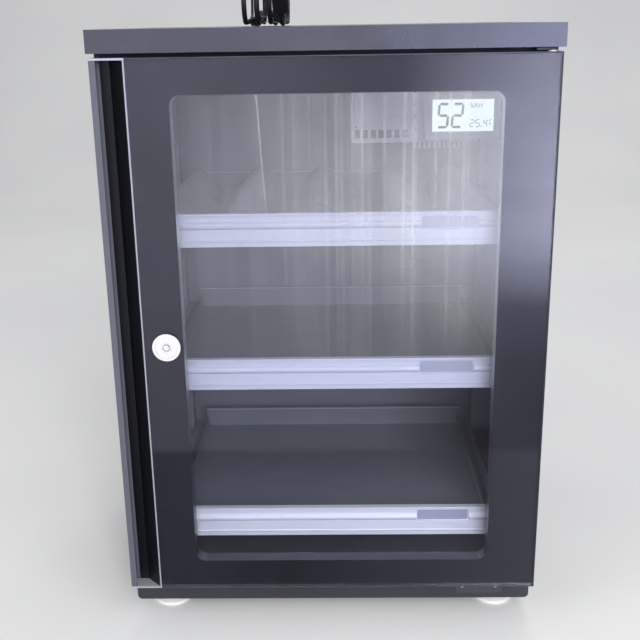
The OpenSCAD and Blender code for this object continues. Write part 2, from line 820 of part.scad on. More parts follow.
// Hygrometer: moulded case, display and the bracket that holds it on the dryer unit
bezel_w = 8.2;
display_h = 36.8;
display_drop = 5.4;
display_t = 2;
display_recess = 1;

module meter_case() {
    x0 = meter_x - meter_w / 2;
    x1 = meter_x + meter_w / 2;
    top = meter_z + meter_h;
    color(plastic) difference() {
        along_y(meter_y, meter_y + meter_t) round_rect(x0, x1, meter_z, top, meter_corner_r);
        slab(x0 + bezel_w, x1 - bezel_w, meter_y - cut, meter_y + display_recess + display_t,
            top - display_drop - display_h, top - display_drop);
    }
}

module meter_display() {
    top = meter_z + meter_h - display_drop;
    y0 = meter_y + display_recess;
    color([0.90, 0.96, 0.94]) slab(meter_x - meter_w / 2 + bezel_w, meter_x + meter_w / 2 - bezel_w,
        y0, y0 + display_t, top - display_h, top);
}

module meter_holder() {
    arm_w = 40;
    arm_h = 24;
    plate_t = 3;
    x1 = dryer_x + dryer_w / 2 - seat_gap;
    x0 = x1 - arm_w;
    y0 = meter_y + meter_t;
    z0 = meter_z + (meter_h - arm_h) / 2;
    color(plastic) union() {
        slab(x0, x1, y0, y0 + plate_t, z0, z0 + arm_h);
        slab(x0, x1, dryer_y - plate_t, dryer_y, z0, z0 + arm_h);
        slab(x0, x1, y0, dryer_y, z0, z0 + plate_t);
        slab(x0, x1, y0, dryer_y, z0 + arm_h - plate_t, z0 + arm_h);
    }
}

// Door frame: folded edge round the glass, a narrow ledge behind it and the inner sheet
module door_frame() {
    color(bright) difference() {
        slab(glass_x0, half_w, front_y, door_back_y, door_z, door_top);
        slab(glass_x0 + sheet_t, half_w - sheet_t, front_y - cut, print_back_y,
            door_z + sheet_t, door_top - sheet_t);
        difference() {
            slab(glass_x0 + sheet_t, half_w - sheet_t, print_back_y + sheet_t,
                door_back_y - sheet_t, door_z + sheet_t, door_top - sheet_t);
            for (z = [door_z, door_top - pin_reach]) slab(hinge_block_x, half_w - sheet_t,
                print_back_y, door_back_y - sheet_t, z, z + pin_reach);
        }
        slab(glass_x0 + sheet_t + ledge_w, half_w - sheet_t - ledge_w, print_back_y - cut,
            print_back_y + sheet_t + cut, door_z + sheet_t + ledge_w, door_top - sheet_t - ledge_w);
        along_y(print_back_y, door_back_y + cut) round_rect(window_x0 - sheet_t, window_x1 + sheet_t,
            window_z0 - sheet_t, window_z1 + sheet_t, window_r + sheet_t);
        for (z = [door_z - cut, door_top - pin_reach - cut]) translate([hinge_x, hinge_y, z])
            cylinder(r = bush_r + run_fit, h = pin_reach + 2 * cut);
        lock_bore(door_back_y + cut);
    }
}

// Round hole that the lock barrel passes through
module lock_bore(y1) {
    translate([lock_x, front_y - cut, lock_z]) rotate([-90, 0, 0])
        cylinder(r = barrel_r + run_fit, h = y1 - front_y + cut);
}

// Extruded handle stile: grip lip, undercut channel and a slanted wall up to the glass
module handle_rail() {
    x0 = -half_w;
    lip_t = 2;
    channel_back = front_y + channel_d;
    slope_x = x0 + handle_w / 2;
    edge_x = glass_x0 - handle_wall / 3;
    back_in = door_back_y - sheet_t;
    color(paint) translate([0, 0, door_z + end_cap_t])
        linear_extrude(door_top - door_z - 2 * end_cap_t) difference() {
            translate([x0, front_y]) square([handle_w, door_t]);
            translate([x0 + grip_lip_w, front_y - cut])
                square([edge_x - x0 - grip_lip_w, cut + lip_t / 4]);
            polygon([[x0 + grip_lip_w, front_y], [x0 + grip_lip_w, front_y + lip_t],
                [x0 + handle_wall, front_y + lip_t], [x0 + handle_wall, channel_back],
                [slope_x, channel_back], [edge_x, front_y + lip_t / 4], [edge_x, front_y]]);
            polygon([[x0 + handle_wall, channel_back + handle_wall],
                [slope_x + handle_wall, channel_back + handle_wall],
                [glass_x0 - handle_wall, front_y + 2 * handle_wall + lip_t],
                [glass_x0 - handle_wall, back_in], [x0 + handle_wall, back_in]]);
        }
}

module handle_end_caps() {
    color(bright) for (z = [door_z, door_top - end_cap_t])
        slab(-half_w, glass_x0, front_y, door_back_y, z, z + end_cap_t);
}

module door_glass() {
    color([0.75, 0.85, 0.85, 0.25]) difference() {
        slab(glass_x0 + sheet_t + glass_gap, half_w - sheet_t - glass_gap, front_y, glass_back_y,
            door_z + sheet_t + glass_gap, door_top - sheet_t - glass_gap);
        lock_bore(glass_back_y + cut);
    }
}

module glass_border() {
    color(print_black) difference() {
        slab(glass_x0 + sheet_t + glass_gap, half_w - sheet_t - glass_gap, glass_back_y,
            print_back_y, door_z + sheet_t + glass_gap, door_top - sheet_t - glass_gap);
        along_y(glass_back_y - cut, print_back_y + cut)
            round_rect(window_x0, window_x1, window_z0, window_z1, window_r);
        lock_bore(print_back_y + cut);
    }
}

// Bright flange that lines the window behind the glass
module window_trim() {
    color(bright) along_y(print_back_y, door_back_y)
        round_ring(window_x0, window_x1, window_z0, window_z1, window_r, sheet_t);
}

module door_seal() {
    x = half_w - seal_inset - seal_w;
    rise = seal_rise + seal_w;
    corner_r = 2;
    color(black) along_y(door_back_y, door_back_y + seal_t)
        round_ring(-x, x, door_z + rise, door_top - rise, corner_r, seal_w);
}

module hinge_bushes() {
    color(white) for (z = [door_z, door_top - pin_reach]) translate([hinge_x, hinge_y, z])
        difference() {
            cylinder(r = bush_r, h = pin_reach);
            translate([0, 0, -cut]) cylinder(r = pin_r + run_fit, h = pin_reach + 2 * cut);
        }
}

// Lock barrel: stepped chrome face, body through the door and the bore for the plug
module lock_barrel() {
    face_t = 0.6 * lock_proud;
    rim_r = 0.82 * lock_r;
    bore_h = barrel_end_y - front_y + lock_proud;
    color(chrome) translate([lock_x, front_y - lock_proud, lock_z]) rotate([-90, 0, 0])
        difference() {
            union() {
                translate([0, 0, lock_proud - face_t]) cylinder(r = lock_r, h = face_t);
                cylinder(r1 = 0.9 * rim_r, r2 = rim_r, h = lock_proud);
                cylinder(r = barrel_r, h = bore_h);
            }
            translate([0, 0, -cut]) cylinder(r = plug_r + run_fit, h = bore_h + 2 * cut);
        }
}

module lock_nut() {
    color(chrome) translate([lock_x, door_back_y, lock_z]) rotate([-90, 0, 0]) difference() {
        cylinder(r = 1.4 * barrel_r, h = lock_nut_t, $fn = 6);
        translate([0, 0, -cut]) cylinder(r = barrel_r + run_fit, h = lock_nut_t + 2 * cut);
    }
}

// Turning plug with its ring-shaped keyway
module lock_plug() {
    keyway_d = 4;
    recess = 0.6;
    post_r = 0.5 * plug_r;
    len = cam_y - front_y + lock_proud - recess;
    color(chrome) translate([lock_x, front_y - lock_proud + recess, lock_z]) rotate([-90, 0, 0])
        difference() {
            cylinder(r = plug_r, h = len);
            difference() {
                translate([0, 0, -cut]) cylinder(r = 0.75 * plug_r, h = keyway_d + cut);
                cylinder(r = post_r, h = keyway_d);
            }
        }
}

// Cam on the end of the plug. It hangs down when unlocked.
module lock_cam() {
    color(bright) translate([lock_x, cam_y, lock_z]) rotate([-90, 0, 0])
        linear_extrude(cam_t) union() {
            circle(cam_w / 2);
            translate([-cam_w / 2, 0]) square([cam_w, cam_len - cam_w / 2]);
            translate([0, cam_len - cam_w / 2]) circle(cam_w / 2);
        }
}

// Route of the power cord from the gland up the back and over the rear edge of the lid
cord_rest = 0.3;
cord_sides = 10;
cord_points = [[-3, 191.5, 560], [-16, 191.5, 560], [-33, 191.5, 560], [-50, 191.5, 560],
    [-67, 191.5, 560], [-79, 191.5, 563], [-88, 191.5, 572], [-91, 191.5, 584],
    [-91, 191.5, 599], [-91, 191.5, 613], [-91, 190, 621.5], [-91, 185, 628.8],
    [-91, 177.7, 633.7], [-91, 169, 635.4], [-91, 160.7, 633.8], [-91, 153.7, 629.3],
    [-91, 146.7, 624.7], [-91, 139.3, 623.1], [-91, 133.6, 623.1]];

// Tied hank: loops in upright planes that wind in and out through four lanes side by side
hank_x = -70;
hank_y = 84;
hank_run = 88;
hank_lanes = 4;
loops_per_lane = 1.5;
run_rings = 5;
bend_rings = 7;
loop_rings = 2 * (run_rings + bend_rings);
hank_r = 26.4;
hank_pull = 5;
lane_end_step = 14;
loop_step = cord_d + hank_gap;
waist_step = loop_step + hank_gap / 2;
hank_sides = 6;
// Turn at which the first climb from lane to lane is centred, on the middle of a top run
climb_turn = loops_per_lane - 1 + (1.5 * run_rings + bend_rings) / loop_rings;

function smooth(u) = let (c = max(0, min(1, u))) c * c * (3 - 2 * c);

// 0 at the waist, 1 at the ends of the runs
function spread(y) = smooth(abs(y - hank_y) / (hank_run / 2));

// Lane at turn t, with each climb along one run
function lane(t) = smooth((t - climb_turn) * loop_rings / run_rings + 0.5)
    + smooth((t - climb_turn - loops_per_lane) * loop_rings / run_rings + 0.5)
    + smooth((t - climb_turn - 2 * loops_per_lane) * loop_rings / run_rings + 0.5);

// Radius at turn t, falling and growing again at one steady rate
function turn_r(t) = let (u = t - climb_turn + loops_per_lane, k = floor(u / loops_per_lane),
    p = u - k * loops_per_lane) hank_r - loop_step * (k % 2 == 0 ? p : loops_per_lane - p);

// Ring i of the hank, with its height still counted from the middle of the loops
function hank_ring(i) = let (t = i / loop_rings, j = i % loop_rings, r = turn_r(t),
    half = run_rings + bend_rings, back = j >= half, q = back ? j - half : j,
    bend = max(0, q - run_rings) / bend_rings * 180, along = min(q, run_rings) / run_rings,
    side = back ? -1 : 1,
    y = hank_y + side * (hank_run / 2 - along * hank_run - r * sin(bend)),
    w = spread(y), x = (lane(t) - (hank_lanes - 1) / 2) * (waist_step + (lane_end_step - waist_step) * w))
    [hank_x + x, y, -side * (r - hank_pull * (1 - w)) * cos(bend)];

hank_last = (hank_lanes * loops_per_lane - 1) * loop_rings + run_rings;
hank_raw = [for (i = [0:hank_last]) hank_ring(i)];
hank_z = total_h + cord_rest + cord_d / 2 - min([for (p = hank_raw) p[2]]);

// Tail that runs out from under the hank and bends up into the plug
tail_y = 24;
tail_r = 4 * cord_d;
tail_angle = 40;
tail_z = total_h + cord_rest + cord_d / 2;
tail_x = hank_raw[hank_last][0];
tail_dir = [0, -cos(tail_angle), sin(tail_angle)];
bend_end = [tail_x, tail_y - tail_r * sin(tail_angle), tail_z + tail_r * (1 - cos(tail_angle))];
plug_at = bend_end + cord_d * tail_dir;
hank_points = concat([[hank_raw[0][0], hank_raw[0][1] + cord_d, tail_z]],
    [for (p = hank_raw) p + [0, 0, hank_z]], [[tail_x, tail_y, tail_z]],
    [for (a = [10:10:tail_angle]) [tail_x, tail_y - tail_r * sin(a), tail_z + tail_r * (1 - cos(a))]],
    [plug_at]);

// Least gap of the hank to itself, taken between points a few steps apart on its rings
gap_steps = 4;
gap_points = [for (i = [0:len(hank_points) - 2], k = [0:gap_steps - 1])
    hank_points[i] + (hank_points[i + 1] - hank_points[i]) * k / gap_steps];
function least_gap() = let (n = len(gap_points), apart = gap_steps * bend_rings)
    min([for (i = [0:n - apart - 1]) min([for (j = [i + apart:n - 1])
        norm(gap_points[i] - gap_points[j])])]) - cord_d;

function unit(v) = v / norm(v);

// Side vectors of the rings, each the one before it turned as little as the path allows
function carry(dirs, side, i, out) = i >= len(dirs) ? out :
    let (flat = unit(side - (side * dirs[i]) * dirs[i])) carry(dirs, flat, i + 1, concat(out, [flat]));

// Round tube swept along points
module tube(points, d, sides) {
    n = len(points);
    tilt = [0.3, 0.5, 0.8];
    dirs = [for (i = [0:n - 1]) unit(points[min(i + 1, n - 1)] - points[max(i - 1, 0)])];
    frames = carry(dirs, unit(cross(dirs[0], tilt)), 0, []);
    verts = [for (i = [0:n - 1], j = [0:sides - 1]) let (a = 360 * j / sides)
        points[i] + d / 2 * (cos(a) * frames[i] + sin(a) * cross(dirs[i], frames[i]))];
    ends = [[for (j = [0:sides - 1]) j], [for (j = [sides - 1:-1:0]) (n - 1) * sides + j]];
    walls = [for (i = [0:n - 2], j = [0:sides - 1]) let (k = (j + 1) % sides)
        each [[i * sides + j, (i + 1) * sides + j, i * sides + k],
            [i * sides + k, (i + 1) * sides + j, (i + 1) * sides + k]]];
    polyhedron(points = verts, faces = concat(ends, walls));
}

module power_cord() {
    color(black) tube(cord_points, cord_d, cord_sides);
}

module cord_hank() {
    echo("least gap of the hank to itself", least_gap());
    color(black) tube(hank_points, cord_d, hank_sides);
}

// Band round the waist of the hank
module cord_tie() {
    tie_w = 8;
    tie_t = 1;
    w = spread(hank_y + hank_run / run_rings / 2);
    clear = cord_d / 2 + cord_rest - hank_pull * (1 - w);
    x = (hank_lanes - 1) / 2 * (waist_step + (lane_end_step - waist_step) * w) + cord_d / 2 + cord_rest;
    top = hank_r + clear;
    bottom = hank_r - (loop_step - loop_step / loop_rings) / 2 + clear;
    color(white) along_y(hank_y - tie_w / 2, hank_y + tie_w / 2)
        round_ring(hank_x - x, hank_x + x, hank_z - bottom, hank_z + top, cord_d / 2, tie_t);
}

// Moulded plug with a ribbed neck, in line with the end of the tail
plug_len = 24;
plug_w = 18;
plug_t = 12;
neck_len = 8;
neck_r = 4.2;

module at_plug() {
    translate(plug_at) rotate([90 - tail_angle, 0, 0]) children();
}

module plug_body() {
    corner_r = 4;
    rings = 3;
    ring_t = neck_len / (2 * rings);
    color(black) at_plug() union() {
        cylinder(r = neck_r - ring_t / 2, h = neck_len);
        for (i = [0:rings - 1]) translate([0, 0, (2 * i + 1) * ring_t]) cylinder(r = neck_r, h = ring_t);
        translate([0, 0, neck_len]) linear_extrude(plug_len)
            round_rect(-plug_w / 2, plug_w / 2, -plug_t / 2, plug_t / 2, corner_r);
    }
}

module plug_blades() {
    blade_w = 6.3;
    blade_t = 1.5;
    blade_len = 16;
    blade_gap = 12.7;
    color(chrome) at_plug() for (s = [-1, 1])
        translate([s * blade_gap / 2 - blade_t / 2, -blade_w / 2, neck_len + plug_len])
            cube([blade_t, blade_w, blade_len]);
}

front_frame();
body_wrap();
back_panel();
upper_back_panel();
floor_panel();
ceiling_panel();
top_cap();
upper_hinge_bracket();
lower_hinge_bracket();
hinge_pins();
hinge_washers();
hinge_screws();
foot_nuts();
rear_feet();
standards(-1);  // left_standards
standards(1);  // right_standards
rails(upper_rim_z);  // upper_rails
rails(middle_rim_z);  // middle_rails
rails(lower_rim_z);  // lower_rails
duct_cover();
dryer_housing();
desiccant_pack();
heater_plate();
dryer_shutter();
rear_vent_cover();
cord_gland();
meter_case();
meter_display();
meter_holder();
door_frame();
handle_rail();
handle_end_caps();
door_glass();
glass_border();
window_trim();
door_seal();
hinge_bushes();
lock_barrel();
lock_nut();
lock_plug();
lock_cam();
tray_pan(upper_rim_z);  // upper_tray_pan
tray_front(upper_rim_z);  // upper_tray_front
lens_mat();
tray_pan(middle_rim_z);  // middle_tray_pan
tray_front(middle_rim_z);  // middle_tray_front
tray_pan(lower_rim_z);  // lower_tray_pan
tray_front(lower_rim_z);  // lower_tray_front
foot_pad(-1);  // left_foot_pad
foot_stem(-1);  // left_foot_stem
foot_pad(1);  // right_foot_pad
foot_stem(1);  // right_foot_stem
power_cord();
cord_hank();
cord_tie();
plug_body();
plug_blades();
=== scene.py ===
import math

import bmesh
import bpy
from mathutils import Matrix, Vector


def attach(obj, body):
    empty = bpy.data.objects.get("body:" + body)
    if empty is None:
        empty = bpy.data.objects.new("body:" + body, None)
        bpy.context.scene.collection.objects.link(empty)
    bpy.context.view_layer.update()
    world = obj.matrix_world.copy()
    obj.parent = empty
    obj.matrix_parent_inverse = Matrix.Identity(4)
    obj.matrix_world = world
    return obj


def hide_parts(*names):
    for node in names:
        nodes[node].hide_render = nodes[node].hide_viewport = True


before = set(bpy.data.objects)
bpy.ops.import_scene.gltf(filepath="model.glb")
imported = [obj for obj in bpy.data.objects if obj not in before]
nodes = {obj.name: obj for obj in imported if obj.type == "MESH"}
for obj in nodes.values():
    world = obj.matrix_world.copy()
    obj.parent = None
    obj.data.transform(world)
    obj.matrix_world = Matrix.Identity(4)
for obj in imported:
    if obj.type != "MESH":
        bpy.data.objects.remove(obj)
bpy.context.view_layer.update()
scene = bpy.context.scene


def mm(*v):
    return [x / 1000 for x in v]


# Camera, in metres and degrees

CAMERA_AT = (0.0107, -1.0926, 0.6230)
CAMERA_TURN = (17.223, -1.203, 0.926)
CAMERA_LENS = 53.98
GLASS_Y = -0.1955


def aim_camera():
    pitch, yaw, roll = (math.radians(a) for a in CAMERA_TURN)
    fwd = Vector((math.sin(yaw) * math.cos(pitch), math.cos(yaw) * math.cos(pitch), -math.sin(pitch)))
    right = Vector((math.cos(yaw), -math.sin(yaw), 0))
    down = fwd.cross(right)
    r2 = math.cos(roll) * right + math.sin(roll) * down
    d2 = math.cos(roll) * down - math.sin(roll) * right
    data = bpy.data.cameras.new("camera")
    data.sensor_width = 36
    data.sensor_fit = "HORIZONTAL"
    data.lens = CAMERA_LENS
    data.clip_start = 0.01
    data.clip_end = 100
    cam = bpy.data.objects.new("camera", data)
    scene.collection.objects.link(cam)
    m = Matrix((r2, -d2, -fwd)).transposed().to_4x4()
    m.translation = CAMERA_AT
    cam.matrix_world = m
    scene.camera = cam


aim_camera()


# Mesh helpers

def add_mesh(name, verts, faces, mat, body, smooth=False):
    mesh = bpy.data.meshes.new(name)
    mesh.from_pydata([tuple(v) for v in verts], [], faces)
    mesh.update()
    bm = bmesh.new()
    bm.from_mesh(mesh)
    bmesh.ops.recalc_face_normals(bm, faces=bm.faces)
    bm.to_mesh(mesh)
    bm.free()
    for p in mesh.polygons:
        p.use_smooth = smooth
    mesh.materials.append(mat)
    obj = bpy.data.objects.new(name, mesh)
    scene.collection.objects.link(obj)
    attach(obj, body)
    return obj


class Batch:
    """Shapes in millimetres that end up in one mesh."""

    def __init__(self):
        self.verts, self.faces = [], []

    def add(self, verts, faces):
        n = len(self.verts)
        self.verts += [mm(*v) for v in verts]
        self.faces += [[i + n for i in f] for f in faces]

    def plate(self, outline, y0, y1, edge=0.0):
        """Outline in X and Z, solid from y0 (front) to y1, its front edge chamfered."""
        n = len(outline)
        cx = sum(p[0] for p in outline) / n
        cz = sum(p[1] for p in outline) / n
        rings = [(outline, y1)]
        if edge:
            rings.append((outline, y0 + edge))
            shrunk = []
            for x, z in outline:
                d = math.hypot(x - cx, z - cz) or 1
                shrunk.append((x - (x - cx) / d * edge, z - (z - cz) / d * edge))
            rings.append((shrunk, y0))
        else:
            rings.append((outline, y0))
        verts = [(x, y, z) for ring, y in rings for x, z in ring]
        faces = [list(range(n)), list(range((len(rings) - 1) * n, len(rings) * n))]
        for r in range(len(rings) - 1):
            for i in range(n):
                j = (i + 1) % n
                faces.append([r * n + i, r * n + j, (r + 1) * n + j, (r + 1) * n + i])
        self.add(verts, faces)

    def build(self, name, mat, body, smooth=False):
        return add_mesh(name, self.verts, self.faces, mat, body, smooth)


def rounded(x0, x1, z0, z1, r, steps=5):
    out = []
    for cx, cz, a0 in ((x1 - r, z1 - r, 0), (x0 + r, z1 - r, 90), (x0 + r, z0 + r, 180), (x1 - r, z0 + r, 270)):
        for i in range(steps + 1):
            a = math.radians(a0 + 90 * i / steps)
            out.append((cx + r * math.cos(a), cz + r * math.sin(a)))
    return out


# Material helpers

def srgb(text):
    """Linear colour of a hex text."""
    out = []
    for i in (0, 2, 4):
        c = int(text[i:i + 2], 16) / 255
        out.append(c / 12.92 if c <= 0.04045 else ((c + 0.055) / 1.055) ** 2.4)
    return (*out, 1)


class Tree:
    """Node tree of one material, in object coordinates."""

    def __init__(self, name):
        self.mat = bpy.data.materials.new(name)
        self.mat.use_nodes = True
        self.nt = self.mat.node_tree
        self.nt.nodes.clear()
        self.out = self.node("ShaderNodeOutputMaterial")
        self.coord = self.node("ShaderNodeTexCoord").outputs["Object"]

    def node(self, kind, **attrs):
        n = self.nt.nodes.new(kind)
        for k, v in attrs.items():
            setattr(n, k, v)
        return n

    def link(self, a, b):
        self.nt.links.new(a, b)

    def set(self, socket, value):
        if isinstance(value, bpy.types.NodeSocket):
            self.link(value, socket)
        else:
            socket.default_value = value

    def scaled(self, sx, sy, sz, shift=(0, 0, 0)):
        n = self.node("ShaderNodeMapping")
        n.inputs["Scale"].default_value = (sx, sy, sz)
        n.inputs["Location"].default_value = shift
        self.link(self.coord, n.inputs["Vector"])
        return n.outputs["Vector"]

    def noise(self, scale, detail=3, rough=0.5, vector=None):
        n = self.node("ShaderNodeTexNoise")
        n.inputs["Scale"].default_value = scale
        n.inputs["Detail"].default_value = detail
        n.inputs["Roughness"].default_value = rough
        self.link(vector or self.coord, n.inputs["Vector"])
        return n.outputs["Fac"]

    def ramp(self, value, a, b, c=0.0, d=1.0):
        n = self.node("ShaderNodeMapRange")
        self.set(n.inputs["Value"], value)
        for key, v in (("From Min", a), ("From Max", b), ("To Min", c), ("To Max", d)):
            n.inputs[key].default_value = v
        return n.outputs["Result"]

    def math(self, op, a, b=0.0):
        n = self.node("ShaderNodeMath", operation=op)
        self.set(n.inputs[0], a)
        self.set(n.inputs[1], b)
        return n.outputs[0]

    def mix(self, fac, a, b):
        n = self.node("ShaderNodeMix", data_type="RGBA")
        self.set(n.inputs[0], fac)
        self.set(n.inputs[6], a)
        self.set(n.inputs[7], b)
        return n.outputs[2]

    def edges(self, radius, low=0.995, high=0.86):
        """The bevelled normal, and a mask that is 1 along sharp edges."""
        bevel = self.node("ShaderNodeBevel", samples=4)
        bevel.inputs["Radius"].default_value = radius
        geo = self.node("ShaderNodeNewGeometry")
        dot = self.node("ShaderNodeVectorMath", operation="DOT_PRODUCT")
        self.link(bevel.outputs["Normal"], dot.inputs[0])
        self.link(geo.outputs["Normal"], dot.inputs[1])
        return bevel.outputs["Normal"], self.ramp(dot.outputs["Value"], low, high)

    def upward(self):
        geo = self.node("ShaderNodeNewGeometry")
        sep = self.node("ShaderNodeSeparateXYZ")
        self.link(geo.outputs["Normal"], sep.inputs[0])
        return self.ramp(sep.outputs["Z"], 0.7, 0.95)

    def bump(self, height, strength, distance, normal=None):
        n = self.node("ShaderNodeBump")
        n.inputs["Strength"].default_value = strength
        n.inputs["Distance"].default_value = distance
        self.link(height, n.inputs["Height"])
        if normal:
            self.link(normal, n.inputs["Normal"])
        return n.outputs["Normal"]

    def shader(self, color, rough, normal=None, **values):
        p = self.node("ShaderNodeBsdfPrincipled")
        self.set(p.inputs["Base Color"], color)
        self.set(p.inputs["Roughness"], rough)
        if normal:
            self.link(normal, p.inputs["Normal"])
        for key, v in values.items():
            self.set(p.inputs[key.replace("_", " ")], v)
        self.link(p.outputs[0], self.out.inputs["Surface"])
        return p


def finish_of(name, base, spread=0.12, rough=(0.35, 0.5), grain=1500, bump=0.08, depth=0.0002,
              radius=0.0005, wear=None, wear_share=0.5, dust=0.0, tint=7, stretch=None, zones=(), **values):
    """Opaque finish: blotchy tint, fine grain, uneven gloss, softened and worn edges, dust on top faces.
    zones are (axis, from, to, colour): the colour takes over as that coordinate goes from one value to
    the other; an axis written |X is taken without its sign."""
    t = Tree(name)
    lo = tuple(c * (1 - spread) for c in base[:3]) + (1,)
    hi = tuple(min(1, c * (1 + spread)) for c in base[:3]) + (1,)
    place = t.scaled(*stretch) if stretch else None
    color = t.mix(t.ramp(t.noise(tint, 4, 0.6), 0.35, 0.65), lo, hi)
    fine = t.noise(grain, 2, 0.6, place)
    color = t.mix(t.ramp(fine, 0.3, 0.7, 0, 0.35), color, lo)
    if zones:
        where = t.node("ShaderNodeSeparateXYZ")
        t.link(t.coord, where.inputs[0])
    for axis, start, end, other in zones:
        at = where.outputs[axis[-1]]
        if axis[0] == "|":
            at = t.math("ABSOLUTE", at)
        color = t.mix(t.ramp(at, start, end), color, other)
    normal, mask = t.edges(radius)
    if wear:
        worn = t.math("MULTIPLY", mask, t.ramp(t.noise(90, 4, 0.7), 0.42, 0.62, 0, wear_share))
        color = t.mix(worn, color, wear)
    if dust:
        patchy = t.ramp(t.noise(35, 5, 0.7), 0.35, 0.75, 0.2 * dust, dust)
        lying = t.math("MULTIPLY", t.upward(), patchy)
        color = t.mix(lying, color, srgb("b5b3ae"))
    gloss = t.ramp(t.noise(28, 4, 0.6, place), 0.3, 0.7, *rough)
    t.shader(color, gloss, t.bump(fine, bump, depth, normal), **values)
    return t.mat


# Power cord: up from the strain relief, over the lid's rear edge and into the tied hank

CORD_D = 5.6
LID_TOP = 620
rise = [(-3, 191.5, 560), (-16, 191.5, 560), (-33, 191.5, 560), (-50, 191.5, 560), (-67, 191.5, 560),
        (-79, 191.5, 563), (-88, 191.5, 572), (-91, 191.5, 584), (-91, 191.5, 599), (-91, 191.5, 613),
        (-91, 190, 621.5), (-91, 185, 628.8), (-91, 177.7, 633.7), (-91, 169, 635.4), (-91, 160.7, 633.8),
        (-91, 153.7, 629.3), (-91, 146.7, 624.7), (-91, 139.3, 623.1)]
# The hank: its middle, length of a straight run, lanes side by side, turns in each, rings in a run and a bend
HX, HY, RUN, LANES, TURNS, RUN_RINGS, BEND_RINGS = -70, 84, 88, 4, 1.5, 5, 7
LOOP = 2 * (RUN_RINGS + BEND_RINGS)
# Its outer radius, the pull of the tie, and the step of the lanes at the ends and of the turns
HR, PULL, END_STEP, STEP = 26.4, 5, 14, CORD_D + 0.8
WAIST = STEP + 0.4
CLIMB = TURNS - 1 + (1.5 * RUN_RINGS + BEND_RINGS) / LOOP


def smooth(u):
    c = max(0, min(1, u))
    return c * c * (3 - 2 * c)


def hank_point(i):
    t, j = i / LOOP, i % LOOP
    u = t - CLIMB + TURNS
    k = math.floor(u / TURNS)
    p = u - k * TURNS
    r = HR - STEP * (p if k % 2 == 0 else TURNS - p)
    half = RUN_RINGS + BEND_RINGS
    side, q = (-1, j - half) if j >= half else (1, j)
    bend = max(0, q - RUN_RINGS) / BEND_RINGS * math.pi
    along = min(q, RUN_RINGS) / RUN_RINGS
    y = HY + side * (RUN / 2 - along * RUN - r * math.sin(bend))
    w = smooth(abs(y - HY) / (RUN / 2))
    lane = sum(smooth((t - CLIMB - n * TURNS) * LOOP / RUN_RINGS + 0.5) for n in range(3))
    x = (lane - (LANES - 1) / 2) * (WAIST + (END_STEP - WAIST) * w)
    return [HX + x, y, -side * (r - PULL * (1 - w)) * math.cos(bend)]


hank = [hank_point(i) for i in range(int((LANES * TURNS - 1) * LOOP) + RUN_RINGS + 1)]
rest_z = LID_TOP + 0.3 + CORD_D / 2
lift = rest_z - min(p[2] for p in hank)
TAIL_Y, TAIL_R = 24, 4 * CORD_D
tail_x = hank[-1][0]
tail = [(tail_x, TAIL_Y, rest_z)]
tail += [(tail_x, TAIL_Y - TAIL_R * math.sin(a), rest_z + TAIL_R * (1 - math.cos(a)))
         for a in (math.radians(d) for d in (10, 20, 30, 40))]
lean = math.radians(40)
end_x, end_y, end_z = tail[-1]
plug_at = (end_x, end_y - CORD_D * math.cos(lean), end_z + CORD_D * math.sin(lean))
route = rise + [(hank[0][0], hank[0][1] + CORD_D, rest_z)]
route += [(p[0], p[1], p[2] + lift) for p in hank] + tail + [plug_at]


def smooth_route(points, steps=4):
    """Catmull-Rom curve through the points."""
    out = []
    pts = [points[0]] + list(points) + [points[-1]]
    for i in range(1, len(pts) - 2):
        p0, p1, p2, p3 = (Vector(pts[k]) for k in (i - 1, i, i + 1, i + 2))
        for s in range(steps):
            u = s / steps
            out.append(0.5 * (2 * p1 + (p2 - p0) * u + (2 * p0 - 5 * p1 + 4 * p2 - p3) * u * u
                              + (3 * p1 - p0 - 3 * p2 + p3) * u ** 3))
    out.append(Vector(points[-1]))
    return [p / 1000 for p in out]


line = smooth_route(route)
curve = bpy.data.curves.new("power_lead", "CURVE")
curve.dimensions = "3D"
curve.bevel_depth = 1.0  # the points' radius gives the thickness, and keeps the curve's box to the cord
curve.bevel_resolution = 4
curve.use_fill_caps = True
spline = curve.splines.new("POLY")
spline.points.add(len(line) - 1)
for point, p in zip(spline.points, line):
    point.co = (*p, 1)
    point.radius = CORD_D / 2000
lead = bpy.data.objects.new("power_lead", curve)
scene.collection.objects.link(lead)
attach(lead, "cabinet")
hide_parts("power_cord", "cord_hank")


# Materials. Some zones carry the photo's light: the inside low down, the tray fronts, the window trim,
# the door frame's sides and the pull rail.

RIMS = {"upper": 443, "middle": 289.925, "lower": 118}

paint_values = dict(rough=(0.42, 0.56), grain=1700, bump=0.12, wear=srgb("70747c"), wear_share=0.5,
                    dust=0.10)
body_paint = finish_of("body_paint", srgb("2e3138"), **paint_values)
inside_tint = srgb("878994")
back_paint = finish_of("back_paint", srgb("2e3138"),
                       zones=[("Y", 0.18410, 0.18390, inside_tint)], **paint_values)
wrap_paint = finish_of("wrap_paint", srgb("2e3138"),
                       zones=[("|X", 0.21450, 0.21420, inside_tint)], **paint_values)
# Inside paint; below 90 mm it turns darker, painted shade low in the cabinet under the trays.
inside_paint_low_shade = finish_of("inside_paint", srgb("7f828c"), rough=(0.48, 0.6), grain=1700, bump=0.10,
                       wear=srgb("a5a8b0"), wear_share=0.4, dust=0.10, zones=[("Z", 0.10, 0.09, srgb("4d5059"))])
lid_paint = finish_of("lid_paint", srgb("5c5e67"), spread=0.06, rough=(0.22, 0.32), grain=2200, bump=0.06,
                      wear=srgb("a5a7b0"), wear_share=0.3, dust=0.16, Metallic=0.65)
zinc = finish_of("zinc_plate", srgb("b4b8c0"), rough=(0.26, 0.42), grain=260, bump=0.06, tint=40,
                 stretch=(0.4, 1, 4), wear=srgb("6c6f76"), wear_share=0.25, Metallic=0.85)
